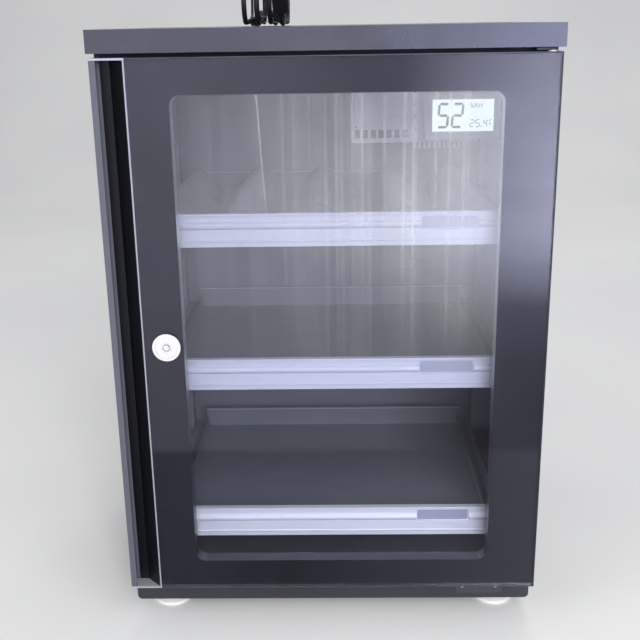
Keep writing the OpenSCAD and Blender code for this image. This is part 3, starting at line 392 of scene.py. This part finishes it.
chrome = finish_of("chrome_plate", srgb("dcdee2"), spread=0.04, rough=(0.10, 0.2), grain=500, bump=0.02, tint=60,
                   Metallic=1.0)
lock_chrome = finish_of("lock_chrome", srgb("f0efef"), spread=0.04, rough=(0.16, 0.26), grain=700, bump=0.03,
                        tint=120, wear=srgb("8e9097"), wear_share=0.4, Metallic=0.35)
white_plastic = finish_of("white_plastic", srgb("efecec"), spread=0.03, rough=(0.38, 0.5), grain=900, bump=0.05,
                          wear=srgb("cfcac6"), wear_share=0.5, dust=0.2)
tray_values = dict(spread=0.08, rough=(0.4, 0.54), grain=1600, bump=0.10, wear=srgb("9da1aa"),
                   wear_share=0.8, dust=0.10)
# Each tray's rim turns paler in its top millimetre: a painted highlight along the edge.
tray_paints = {tray: finish_of(tray + "_tray_paint", srgb("757881"),
                               zones=[("Z", z / 1000 - 0.0013, z / 1000 - 0.0010, srgb("b3b6c0"))],
                               **tray_values)
               for tray, z in RIMS.items()}
# The tray fronts turn paler below about 350 mm and paler again below about 220 mm: painted light on the middle
# and lower fronts.
rail_metal = finish_of("tray_aluminium", srgb("c6c9d5"), spread=0.05, rough=(0.3, 0.42), grain=60, bump=0.05,
                       tint=9, stretch=(0.12, 14, 14), wear=srgb("f0f2f6"), wear_share=0.6, Metallic=0.3,
                       zones=[("Z", 0.36, 0.34, srgb("d0d3df")), ("Z", 0.23, 0.21, srgb("eceef6"))])
unit_plastic = finish_of("unit_plastic", srgb("cfd1dc"), spread=0.05, rough=(0.44, 0.58), grain=1300, bump=0.14,
                         wear=srgb("d4d6de"), wear_share=0.5, dust=0.08)
heater_metal = finish_of("heater_metal", srgb("a8aaad"), rough=(0.35, 0.5), grain=120, tint=30,
                         stretch=(0.3, 3, 3), Metallic=0.9)
# The window trim turns dark from 340 mm down to 200 mm: painted shade on its lower part.
door_metal = finish_of("door_metal", srgb("b3b7c0"), spread=0.08, rough=(0.28, 0.42), grain=240, bump=0.06,
                       tint=12, stretch=(1, 1, 0.25), wear=srgb("e2e4e8"), wear_share=0.3, Metallic=0.6,
                       zones=[("Z", 0.34, 0.20, srgb("4a4d55"))])
# The door frame turns pale at its left edge, a painted highlight, and dark at its right edge, painted shade.
frame_metal = finish_of("door_frame_metal", srgb("4b4e57"), spread=0.16, rough=(0.28, 0.42), grain=240, bump=0.06,
                        tint=16, stretch=(1, 1, 0.25), wear=srgb("b9bcc6"), wear_share=0.35, Metallic=0.4,
                        zones=[("X", -0.1824, -0.1828, srgb("b6b9c4")), ("X", 0.2136, 0.2140, srgb("34363e"))])
door_skin = finish_of("door_inner_skin", srgb("3a3d44"), rough=(0.4, 0.52), grain=1700, bump=0.10,
                      wear=srgb("8a8e96"), wear_share=0.6)
# Near its left end the pull rail turns near black, painted shade in the grip channel, and its outermost strip
# turns pale, a painted highlight on the lip.
handle_paint = finish_of("handle_paint", srgb("0a0c11"), spread=0.15, rough=(0.34, 0.48), grain=1400, bump=0.10,
                         wear=srgb("6d7484"), wear_share=0.6, dust=0.12,
                         zones=[("X", -0.1985, -0.1998, srgb("050609")), ("X", -0.2086, -0.2090, srgb("575964"))])
rubber = finish_of("seal_rubber", srgb("24252a"), rough=(0.55, 0.7), grain=1100, bump=0.15, dust=0.2)
cord_rubber = finish_of("cord_rubber", srgb("1d1d21"), rough=(0.38, 0.5), grain=900, bump=0.10, dust=0.1)
blade_metal = finish_of("nickel_blades", srgb("cfccbf"), spread=0.06, rough=(0.2, 0.34), grain=400,
                        tint=90, Metallic=1.0)
foam = finish_of("grey_foam", srgb("64666f"), spread=0.14, rough=(0.85, 0.98), grain=700, bump=0.7, depth=0.0006,
                 radius=0.001, tint=30, dust=0.08, Sheen_Weight=0.25, Sheen_Roughness=0.5)
card = finish_of("label_card", srgb("dfe1e6"), spread=0.03, rough=(0.4, 0.5), grain=600, bump=0.05, tint=25)
tray_card = finish_of("tray_card", srgb("9c9fb2"), spread=0.05, rough=(0.4, 0.5), grain=600, bump=0.05, tint=25)
segment_ink = finish_of("display_ink", srgb("4f5f64"), spread=0.04, rough=(0.3, 0.4), grain=900, bump=0.02)
desiccant = finish_of("drying_agent", srgb("4a4c55"), spread=0.12, rough=(0.7, 0.9), grain=260, bump=0.9,
                      depth=0.001, tint=60)


def print_material():
    """Dark print seen through the glass."""
    t = Tree("dark_print")
    color = t.mix(t.ramp(t.noise(9, 4, 0.6), 0.35, 0.65), srgb("101216"), srgb("191b21"))
    t.shader(color, t.ramp(t.noise(60, 3), 0.3, 0.7, 0.3, 0.45), t.bump(t.noise(900, 2), 0.05, 0.0001))
    return t.mat


def glass_material():
    t = Tree("clear_glass")
    wave = t.bump(t.noise(5, 1), 0.02, 0.0005)
    tint = t.mix(t.ramp(t.noise(4, 2), 0.3, 0.7), srgb("f2f4f9"), srgb("f7f8fc"))
    p = t.shader(tint, t.ramp(t.noise(40, 3), 0.3, 0.7, 0.0, 0.02), wave, Transmission_Weight=1.0, IOR=1.5)
    clear = t.node("ShaderNodeBsdfTransparent")
    clear.inputs["Color"].default_value = (0.90, 0.91, 0.93, 1)
    path = t.node("ShaderNodeLightPath")
    both = t.node("ShaderNodeMixShader")
    t.link(path.outputs["Is Shadow Ray"], both.inputs[0])
    t.link(p.outputs[0], both.inputs[1])
    t.link(clear.outputs[0], both.inputs[2])
    t.link(both.outputs[0], t.out.inputs["Surface"])
    return t.mat


def wipe_and_reflection_material():
    """Streaks of wiping, a pale veil that is a painted reflection, and one thin ruled line, in the clear window
    only. The streaks are strongest right of centre, the veil grows towards the right, and both fade out downwards
    from 420 mm to 270 mm.
    """
    t = Tree("wipes_and_painted_reflection")
    sep = t.node("ShaderNodeSeparateXYZ")
    t.link(t.coord, sep.inputs[0])
    height = t.ramp(sep.outputs["Z"], 0.27, 0.42)
    side = t.math("MULTIPLY", t.ramp(sep.outputs["X"], -0.17, 0.08, 0.15, 1.0),
                  t.ramp(sep.outputs["X"], 0.09, 0.14, 1.0, 0.5))
    # Distance past the window's rectangle, less its corner radius
    past = []
    for axis, middle, half in (("X", 0.0103, 0.1437), ("Z", 0.319, 0.2319)):
        reach = t.math("ABSOLUTE", t.math("SUBTRACT", sep.outputs[axis], middle))
        reach = t.math("MAXIMUM", t.math("SUBTRACT", reach, half), 0)
        past.append(t.math("MULTIPLY", reach, reach))
    corner = t.math("SQRT", t.math("ADD", past[0], past[1]))
    pane = t.ramp(corner, 0.0110, 0.0098)
    broad = t.ramp(t.noise(30, 1, 0.5, t.scaled(1, 1, 0.02)), 0.40, 0.66)
    thin = t.ramp(t.noise(170, 1, 0.5, t.scaled(1, 1, 0.006, (0.3, 0, 0))), 0.50, 0.68)
    cloud = t.ramp(t.noise(7, 4, 0.6), 0.35, 0.7, 0.45, 1.0)
    streaks_and_reflection = t.math("ADD", t.math("MULTIPLY", broad, 0.10), t.math("MULTIPLY", thin, 0.11))
    streaks_and_reflection = t.math("MULTIPLY", t.math("MULTIPLY", streaks_and_reflection, cloud), side)
    # Painted reflection: a pale veil, weak at the left and strongest at the right.
    painted_reflection_veil = t.math("MULTIPLY", t.ramp(sep.outputs["X"], -0.17, 0.15, 0.05, 0.22),
                  t.ramp(cloud, 0.45, 1.0, 0.8, 1.1))
    streaks_and_reflection = t.math("MULTIPLY", t.math("ADD", streaks_and_reflection, painted_reflection_veil), height)
    line_x = t.math("ADD", -0.03327, t.math("MULTIPLY", sep.outputs["Z"], -0.0538))
    off = t.math("ABSOLUTE", t.math("SUBTRACT", sep.outputs["X"], line_x))
    rule = t.math("MULTIPLY", t.ramp(off, 0.0009, 0.0002, 0, 0.16), t.ramp(sep.outputs["Z"], 0.448, 0.47))
    alpha = t.math("ADD", t.math("MULTIPLY", streaks_and_reflection, pane), t.math("MULTIPLY", rule, pane))
    color = t.mix(cloud, srgb("d2d4e2"), srgb("eceef4"))
    t.shader(color, 0.55, Alpha=alpha)
    return t.mat


def display_material():
    t = Tree("display_painted_glow")
    color = t.mix(t.ramp(t.noise(14, 2), 0.3, 0.7), srgb("e4f3f1"), srgb("eefaf8"))
    # The emission is a painted glow that lifts the display's brightness.
    t.shader(color, t.ramp(t.noise(50, 2), 0.3, 0.7, 0.08, 0.16), t.bump(t.noise(1500, 1), 0.02, 0.0001),
             Emission_Color=srgb("e9fbf8"), Emission_Strength=0.80)
    return t.mat


dark_print, clear_glass, wipes_and_painted_reflection, display_painted_glow = (
    print_material(), glass_material(), wipe_and_reflection_material(), display_material())

looks = {
    body_paint: "front_frame",
    wrap_paint: "body_wrap",
    back_paint: "back_panel upper_back_panel",
    inside_paint_low_shade: "floor_panel ceiling_panel duct_cover left_standards right_standards",
    lid_paint: "top_cap",
    zinc: "upper_rails middle_rails lower_rails lock_cam foot_nuts",
    door_skin: "upper_hinge_bracket lower_hinge_bracket",
    chrome: "hinge_pins hinge_screws left_foot_stem right_foot_stem lock_nut",
    lock_chrome: "lock_barrel lock_plug",
    white_plastic: "hinge_washers hinge_bushes rear_feet left_foot_pad right_foot_pad dryer_shutter cord_tie",
    tray_paints["upper"]: "upper_tray_pan",
    tray_paints["middle"]: "middle_tray_pan",
    tray_paints["lower"]: "lower_tray_pan",
    rail_metal: "upper_tray_front middle_tray_front lower_tray_front",
    unit_plastic: "dryer_housing rear_vent_cover meter_case meter_holder",
    heater_metal: "heater_plate",
    door_metal: "window_trim",
    frame_metal: "door_frame handle_end_caps",
    handle_paint: "handle_rail",
    clear_glass: "door_glass",
    rubber: "door_seal cord_gland",
    cord_rubber: "power_cord cord_hank plug_body",
    blade_metal: "plug_blades",
    desiccant: "desiccant_pack",
    display_painted_glow: "meter_display",
    dark_print: "glass_border",
    foam: "lens_mat",
}
for mat, names in looks.items():
    for n in names.split():
        nodes[n].data.materials.clear()
        nodes[n].data.materials.append(mat)
lead.data.materials.append(cord_rubber)


# Dark print behind the glass, its front brought a hair from the glass

PRINT_Y = -0.19145


def printed_border():
    mesh = nodes["glass_border"].data.copy()
    mesh.name = "printed_border"
    for v in mesh.vertices:
        if v.co.y < -0.1913:
            v.co.y = PRINT_Y
    mesh.materials.clear()
    mesh.materials.append(dark_print)
    obj = bpy.data.objects.new("printed_border", mesh)
    scene.collection.objects.link(obj)
    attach(obj, "door")
    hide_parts("glass_border")


printed_border()


# Wipe streaks and a painted reflection: a thin sheet on the front of the glass with a hole round the lock

LOCK_X, LOCK_Z = -160.5, 318
FILM_Y, FILM_X0, FILM_X1, FILM_Z0, FILM_Z1 = -195.56, -182, 213, 47, 593
HOLE_R, HOLE_BOX, HOLE_SIDES = 14.4, 20, 32
film = Batch()
box_x0, box_x1, box_z0, box_z1 = LOCK_X - HOLE_BOX, LOCK_X + HOLE_BOX, LOCK_Z - HOLE_BOX, LOCK_Z + HOLE_BOX
for x0, x1, z0, z1 in ((FILM_X0, box_x0, FILM_Z0, FILM_Z1), (box_x1, FILM_X1, FILM_Z0, FILM_Z1),
                       (box_x0, box_x1, FILM_Z0, box_z0), (box_x0, box_x1, box_z1, FILM_Z1)):
    film.add([(x0, FILM_Y, z0), (x1, FILM_Y, z0), (x1, FILM_Y, z1), (x0, FILM_Y, z1)], [[0, 1, 2, 3]])
ring = []
for i in range(HOLE_SIDES):
    a = 2 * math.pi * i / HOLE_SIDES + math.pi / HOLE_SIDES
    c, s = math.cos(a), math.sin(a)
    k = HOLE_BOX / max(abs(c), abs(s))
    ring.append(((LOCK_X + HOLE_R * c, FILM_Y, LOCK_Z + HOLE_R * s), (LOCK_X + k * c, FILM_Y, LOCK_Z + k * s)))
for i in range(HOLE_SIDES):
    a, b = ring[i], ring[(i + 1) % HOLE_SIDES]
    film.add([a[0], b[0], b[1], a[1]], [[0, 1, 2, 3]])
film.build("glass_wipes_and_painted_reflection", wipes_and_painted_reflection, "door")


# Foam mat with its wave top, softened edges and a slightly uneven skin

MAT_MID, WAVE_HIGH, WAVE_SHIFT, WAVE_LONG = 17.7, 14, 6.717, 80.6


def foam_mat():
    x0, x1, y0, y1, z0 = -169.7, 169.7, -145.2, 129.2, 418
    nx, ny = 170, 90
    verts, faces = [], []
    for j in range(ny + 1):
        for i in range(nx + 1):
            x = x0 + (x1 - x0) * i / nx
            y = y0 + (y1 - y0) * j / ny
            z = z0 + MAT_MID + WAVE_HIGH * math.cos(2 * math.pi * (x + WAVE_SHIFT) / WAVE_LONG)
            e = min(x - x0, x1 - x, y - y0, y1 - y)
            z -= 1.6 * max(0, 1 - e / 3) ** 2 + 0.12 + 0.12 * math.sin(x * 0.9 + 2 * math.sin(y * 0.13))
            z -= 0.25 * (0.5 + 0.5 * math.sin(y * 0.11 + 3 * math.sin(x * 0.05)))
            verts.append((x, y, max(z, z0 + 1)))
    row = nx + 1
    for j in range(ny):
        for i in range(nx):
            a = j * row + i
            faces.append([a, a + 1, a + row + 1, a + row])
    rim = [i for i in range(nx + 1)] + [j * row + nx for j in range(1, ny + 1)]
    rim += [ny * row + i for i in range(nx - 1, -1, -1)] + [j * row for j in range(ny - 1, 0, -1)]
    base = len(verts)
    for k in rim:
        verts.append((verts[k][0], verts[k][1], z0))
    n = len(rim)
    for k in range(n):
        faces.append([rim[k], base + k, base + (k + 1) % n, rim[(k + 1) % n]])
    faces.append([base + k for k in range(n)])
    b = Batch()
    b.add(verts, faces)
    obj = b.build("wave_foam_mat", foam, "upper_tray", True)
    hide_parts("lens_mat")


foam_mat()


# Display: digits of seven slanted strokes, and small unit signs

STROKES = {"2": "abged", "4": "fgbc", "5": "afgcd", "C": "adef"}
INK_Y = (53.35, 53.5)
SLANT = 0.08


def digit(batch, ch, x, z, w, h, t):
    half = h / 2
    g = t * 0.12

    def bar(x0, z0, x1, z1):
        """Stroke with pointed ends between two points."""
        dx, dz = x1 - x0, z1 - z0
        d = math.hypot(dx, dz)
        ux, uz = dx / d, dz / d
        px, pz = -uz * t / 2, ux * t / 2
        a, b = (x0 + ux * g, z0 + uz * g), (x1 - ux * g, z1 - uz * g)
        ex, ez = ux * t / 2, uz * t / 2
        out = [a, (a[0] + ex + px, a[1] + ez + pz), (b[0] - ex + px, b[1] - ez + pz),
               b, (b[0] - ex - px, b[1] - ez - pz), (a[0] + ex - px, a[1] + ez - pz)]
        batch.plate([(x + p + SLANT * q, z + q) for p, q in out], *INK_Y)

    places = {"a": (0, h, w, h), "b": (w, half, w, h), "c": (w, 0, w, half), "d": (0, 0, w, 0),
              "e": (0, 0, 0, half), "f": (0, half, 0, h), "g": (0, half, w, half)}
    for s in STROKES[ch]:
        bar(*places[s])


digits = Batch()
for i, ch in enumerate("52"):
    digit(digits, ch, 128.0 + i * 16.6, 503.4, 11.2, 26.6, 2.9)
for i, ch in enumerate("25"):
    digit(digits, ch, 166.0 + i * 6.6, 503.6, 4.2, 8.0, 0.95)
digits.plate(rounded(178.6, 179.7, 503.2, 504.3, 0.4, 2), *INK_Y)
digit(digits, "4", 181.6, 503.6, 3.6, 8.0, 0.95)
digit(digits, "C", 188.6, 506.6, 2.4, 5.0, 0.7)
digits.build("display_digits", segment_ink, "cabinet")

sign_data = bpy.data.curves.new("display_sign", "FONT")
sign_data.body = "%RH"
sign_data.size = 0.0074
sign_data.extrude = 0.00007
sign = bpy.data.objects.new("display_sign", sign_data)
scene.collection.objects.link(sign)
sign.matrix_world = Matrix.Translation(mm(165.4, 53.42, 525.6)) @ Matrix.Rotation(math.pi / 2, 4, "X")
bpy.context.view_layer.update()
sign_mesh = bpy.data.meshes.new_from_object(sign.evaluated_get(bpy.context.evaluated_depsgraph_get()))
sign_mesh.transform(sign.matrix_world)
bpy.data.objects.remove(sign)
sign_mesh.materials.clear()
sign_mesh.materials.append(segment_ink)
sign = bpy.data.objects.new("display_sign", sign_mesh)
scene.collection.objects.link(sign)
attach(sign, "cabinet")


# Bare plate on the dryer unit, bare cards in the tray fronts' recesses, and the dryer's small lamp

plates = Batch()
plates.plate(rounded(32.0, 98.0, 513.0, 541.5, 1.5), 94.0, 94.5, 0.2)
plates.build("bare_plates", card, "cabinet")

for tray, rim_z in RIMS.items():
    cards = Batch()
    top = rim_z - 4.3
    cards.plate(rounded(94.2, 148.8, top - 12.4, top - 0.9, 0.8), -149.95, -149.5, 0.15)
    cards.build(tray + "_tray_label", tray_card, tray + "_tray")

led = Batch()
led.plate([(33.8 + 1.5 * math.cos(a), 500.7 + 1.5 * math.sin(a))
           for a in (2 * math.pi * i / 20 for i in range(20))], 93.9, 94.5, 0.5)
led_lens = finish_of("indicator_lens", srgb("8d3a34"), spread=0.05, rough=(0.15, 0.25), grain=400, bump=0.02)
led.build("dryer_indicator", led_lens, "cabinet")


# Pan-head screws with a cross recess

def screw(batch, at, facing, r=3.2, h=1.5, turn=0.4):
    """facing is 'back' or 'front', the way the head looks."""
    rings, sides = 8, 32
    pts = []
    for i in range(rings + 1):
        rr = r * i / rings
        for j in range(sides):
            a = 2 * math.pi * j / sides
            u, v = rr * math.cos(a), rr * math.sin(a)
            high = h * math.sqrt(max(0, 1 - (rr / (1.04 * r)) ** 2)) ** 0.7
            cu, cv = (u * math.cos(turn) + v * math.sin(turn), v * math.cos(turn) - u * math.sin(turn))
            if max(abs(cu), abs(cv)) < 0.55 * r and min(abs(cu), abs(cv)) < 0.16 * r:
                high -= 0.55 * h
            pts.append((u, v, high if i < rings else 0))
    out = []
    for u, v, w in pts:
        p = {"back": (-u, w, v), "front": (u, -w, v)}[facing]
        out.append((at[0] + p[0], at[1] + p[1], at[2] + p[2]))
    faces = []
    for i in range(rings):
        for j in range(sides):
            k = (j + 1) % sides
            if i == 0:
                faces.append([j, sides + k, sides + j])
            else:
                faces.append([i * sides + j, i * sides + k, (i + 1) * sides + k, (i + 1) * sides + j])
    batch.add(out, faces)


screws = Batch()
for x in (-207, 207):
    for z in (32, 130, 228, 326, 424, 484, 506, 590):
        screw(screws, (x, 184.5, z), "back", turn=0.3 + z * 0.7)
for x in (-138, -46, 46, 138):
    screw(screws, (x, 184.5, 26), "back", turn=x)
for x in (-160, 0, 160):
    screw(screws, (x, 186.5, 609.5), "back", turn=x * 0.3)
for x, z in ((33, 475), (205, 475), (33, 284), (205, 284)):
    screw(screws, (x, 171.3, z), "front", r=2.8, h=1.3, turn=z)
screw_obj = screws.build("case_screws", chrome, "cabinet", True)


# Magnetic seal: bellows with two lips round a magnet strip

def seal():
    profile = [(0, 0), (0.3, 1.6), (1.4, 1.2), (2.0, 2.2), (2.2, 3.2), (3.0, 3.78), (4.0, 3.6), (5.0, 3.5),
               (6.0, 3.6), (7.0, 3.78), (7.8, 3.2), (8.0, 2.2), (8.6, 1.2), (9.7, 1.6), (10, 0)]
    verts, faces = [], []
    corners = ((-1, -1), (1, -1), (1, 1), (-1, 1))
    n = len(profile)
    for sx, sz in corners:
        for u, v in profile:
            x = sx * (193 + u)
            z = 60 - u if sz < 0 else 580 + u
            verts.append((x, -175.5 + v, z))
    for c in range(4):
        d = (c + 1) % 4
        for i in range(n):
            j = (i + 1) % n
            faces.append([c * n + i, c * n + j, d * n + j, d * n + i])
    b = Batch()
    b.add(verts, faces)
    obj = b.build("magnetic_gasket", rubber, "door")
    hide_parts("door_seal")


seal()


# Stage: pale floor, a card that only glossy and transmission rays meet, and soft lamps

def stage_plane(name, verts, faces, mat):
    mesh = bpy.data.meshes.new(name)
    mesh.from_pydata(verts, [], faces)
    mesh.materials.append(mat)
    obj = bpy.data.objects.new(name, mesh)
    scene.collection.objects.link(obj)
    return obj


def floor_material():
    t = Tree("pale_floor")
    color = t.mix(t.ramp(t.noise(1.5, 4), 0.35, 0.65), srgb("dedede"), srgb("e4e4e3"))
    t.shader(color, 0.85, t.bump(t.noise(60, 3), 0.03, 0.001))
    return t.mat


sweep = [(-12, 0), (2.2, 0)] + [(2.2 + 1.6 * math.sin(a), 1.6 - 1.6 * math.cos(a))
                                for a in (math.radians(d) for d in range(10, 91, 10))] + [(3.8, 7)]
floor_verts = [(x, y, z) for y, z in sweep for x in (-9, 9)]
floor = stage_plane("floor", floor_verts,
                    [[2 * i, 2 * i + 1, 2 * i + 3, 2 * i + 2] for i in range(len(sweep) - 1)],
                    floor_material())
for p in floor.data.polygons:
    p.use_smooth = True


def card_material():
    """Bright towards the hinge side, dark near the cabinet's foot. The pattern is laid out by slope from
    the camera's mirror image behind the glass, so it is matched at the photo's view only."""
    t = Tree("reflected_room")
    sep = t.node("ShaderNodeSeparateXYZ")
    t.link(t.coord, sep.inputs[0])
    away = t.math("SUBTRACT", 2 * GLASS_Y - CAMERA_AT[1], sep.outputs["Y"])
    across = t.math("DIVIDE", t.math("SUBTRACT", sep.outputs["X"], CAMERA_AT[0]), away)
    below = t.math("DIVIDE", t.math("SUBTRACT", CAMERA_AT[2], sep.outputs["Z"]), away)
    left = t.ramp(below, 0.02, 0.46, 0.84, 0.44)
    shade = t.math("MULTIPLY", t.ramp(across, -0.09, 0.03, 0, 0.55), t.ramp(below, 0.16, 0.06))
    left = t.math("MULTIPLY", left, t.math("SUBTRACT", 1.0, shade))
    right = t.math("MULTIPLY", t.ramp(across, 0.07, 0.23, 0, 3.4), t.ramp(below, 0.300, 0.225))
    right = t.math("MULTIPLY", right, t.ramp(below, 0.02, 0.12, 0.7, 1.0))
    dim = t.math("MULTIPLY", t.ramp(across, 0.05, 0.20, 0, 0.30), t.ramp(below, 0.26, 0.36))
    room = t.math("SUBTRACT", t.math("ADD", left, right), dim)
    near = t.ramp(below, 0.462, 0.470, 1.0, 0.0)
    floor_part = t.ramp(across, 0.0, 0.22, 0.13, 0.38)
    patches = t.ramp(t.noise(2.2, 3, 0.6), 0.3, 0.7, 0.9, 1.1)
    level = t.math("ADD", t.math("MULTIPLY", t.math("MULTIPLY", room, patches), near),
                   t.math("MULTIPLY", floor_part, t.math("SUBTRACT", 1.0, near)))
    glow = t.node("ShaderNodeEmission")
    hue = t.mix(t.ramp(right, 0, 1), (0.94, 0.93, 1.12, 1), (0.95, 0.97, 1.27, 1))
    t.link(hue, glow.inputs["Color"])
    t.link(level, glow.inputs["Strength"])
    t.link(glow.outputs[0], t.out.inputs["Surface"])
    return t.mat


reflected = stage_plane("reflected_room",
                        [(-4, -0.24, 0.002), (4, -0.24, 0.002), (4, -3.5, 0.002), (-4, -3.5, 0.002),
                         (-4, -3.5, 3.0), (4, -3.5, 3.0)],
                        [[0, 1, 2, 3], [3, 2, 5, 4]], card_material())
reflected.visible_camera = False
reflected.visible_diffuse = False
reflected.visible_volume_scatter = False
reflected.visible_shadow = False


def lamp(name, at, target, size, power):
    """Soft lamp; the front one stays out of the rays that pass the glass, so it has no mirror image there."""
    data = bpy.data.lights.new(name, "AREA")
    data.size = size
    data.energy = power
    obj = bpy.data.objects.new(name, data)
    scene.collection.objects.link(obj)
    direction = Vector(target) - Vector(at)
    obj.rotation_euler = direction.to_track_quat("-Z", "Y").to_euler()
    obj.location = at
    obj.visible_glossy = False
    obj.visible_transmission = name != "front"


lamp("front", (0.35, -2.5, 1.24), (0, 0, 0.4), 0.9, 48)
lamp("key", (1.3, -2.1, 2.6), (0, 0, 0.3), 1.8, 26)
lamp("fill", (-2.2, -1.6, 1.8), (0, 0, 0.3), 1.6, 14)
lamp("back", (0.4, 2.3, 2.8), (0, 0, 0.4), 1.8, 30)

world = bpy.data.worlds.new("studio")
scene.world = world
world.use_nodes = True
world.node_tree.nodes["Background"].inputs["Color"].default_value = (0.93, 0.94, 0.97, 1)
world.node_tree.nodes["Background"].inputs["Strength"].default_value = 0.5

scene.view_settings.view_transform = "Standard"

bpy.context.view_layer.update()
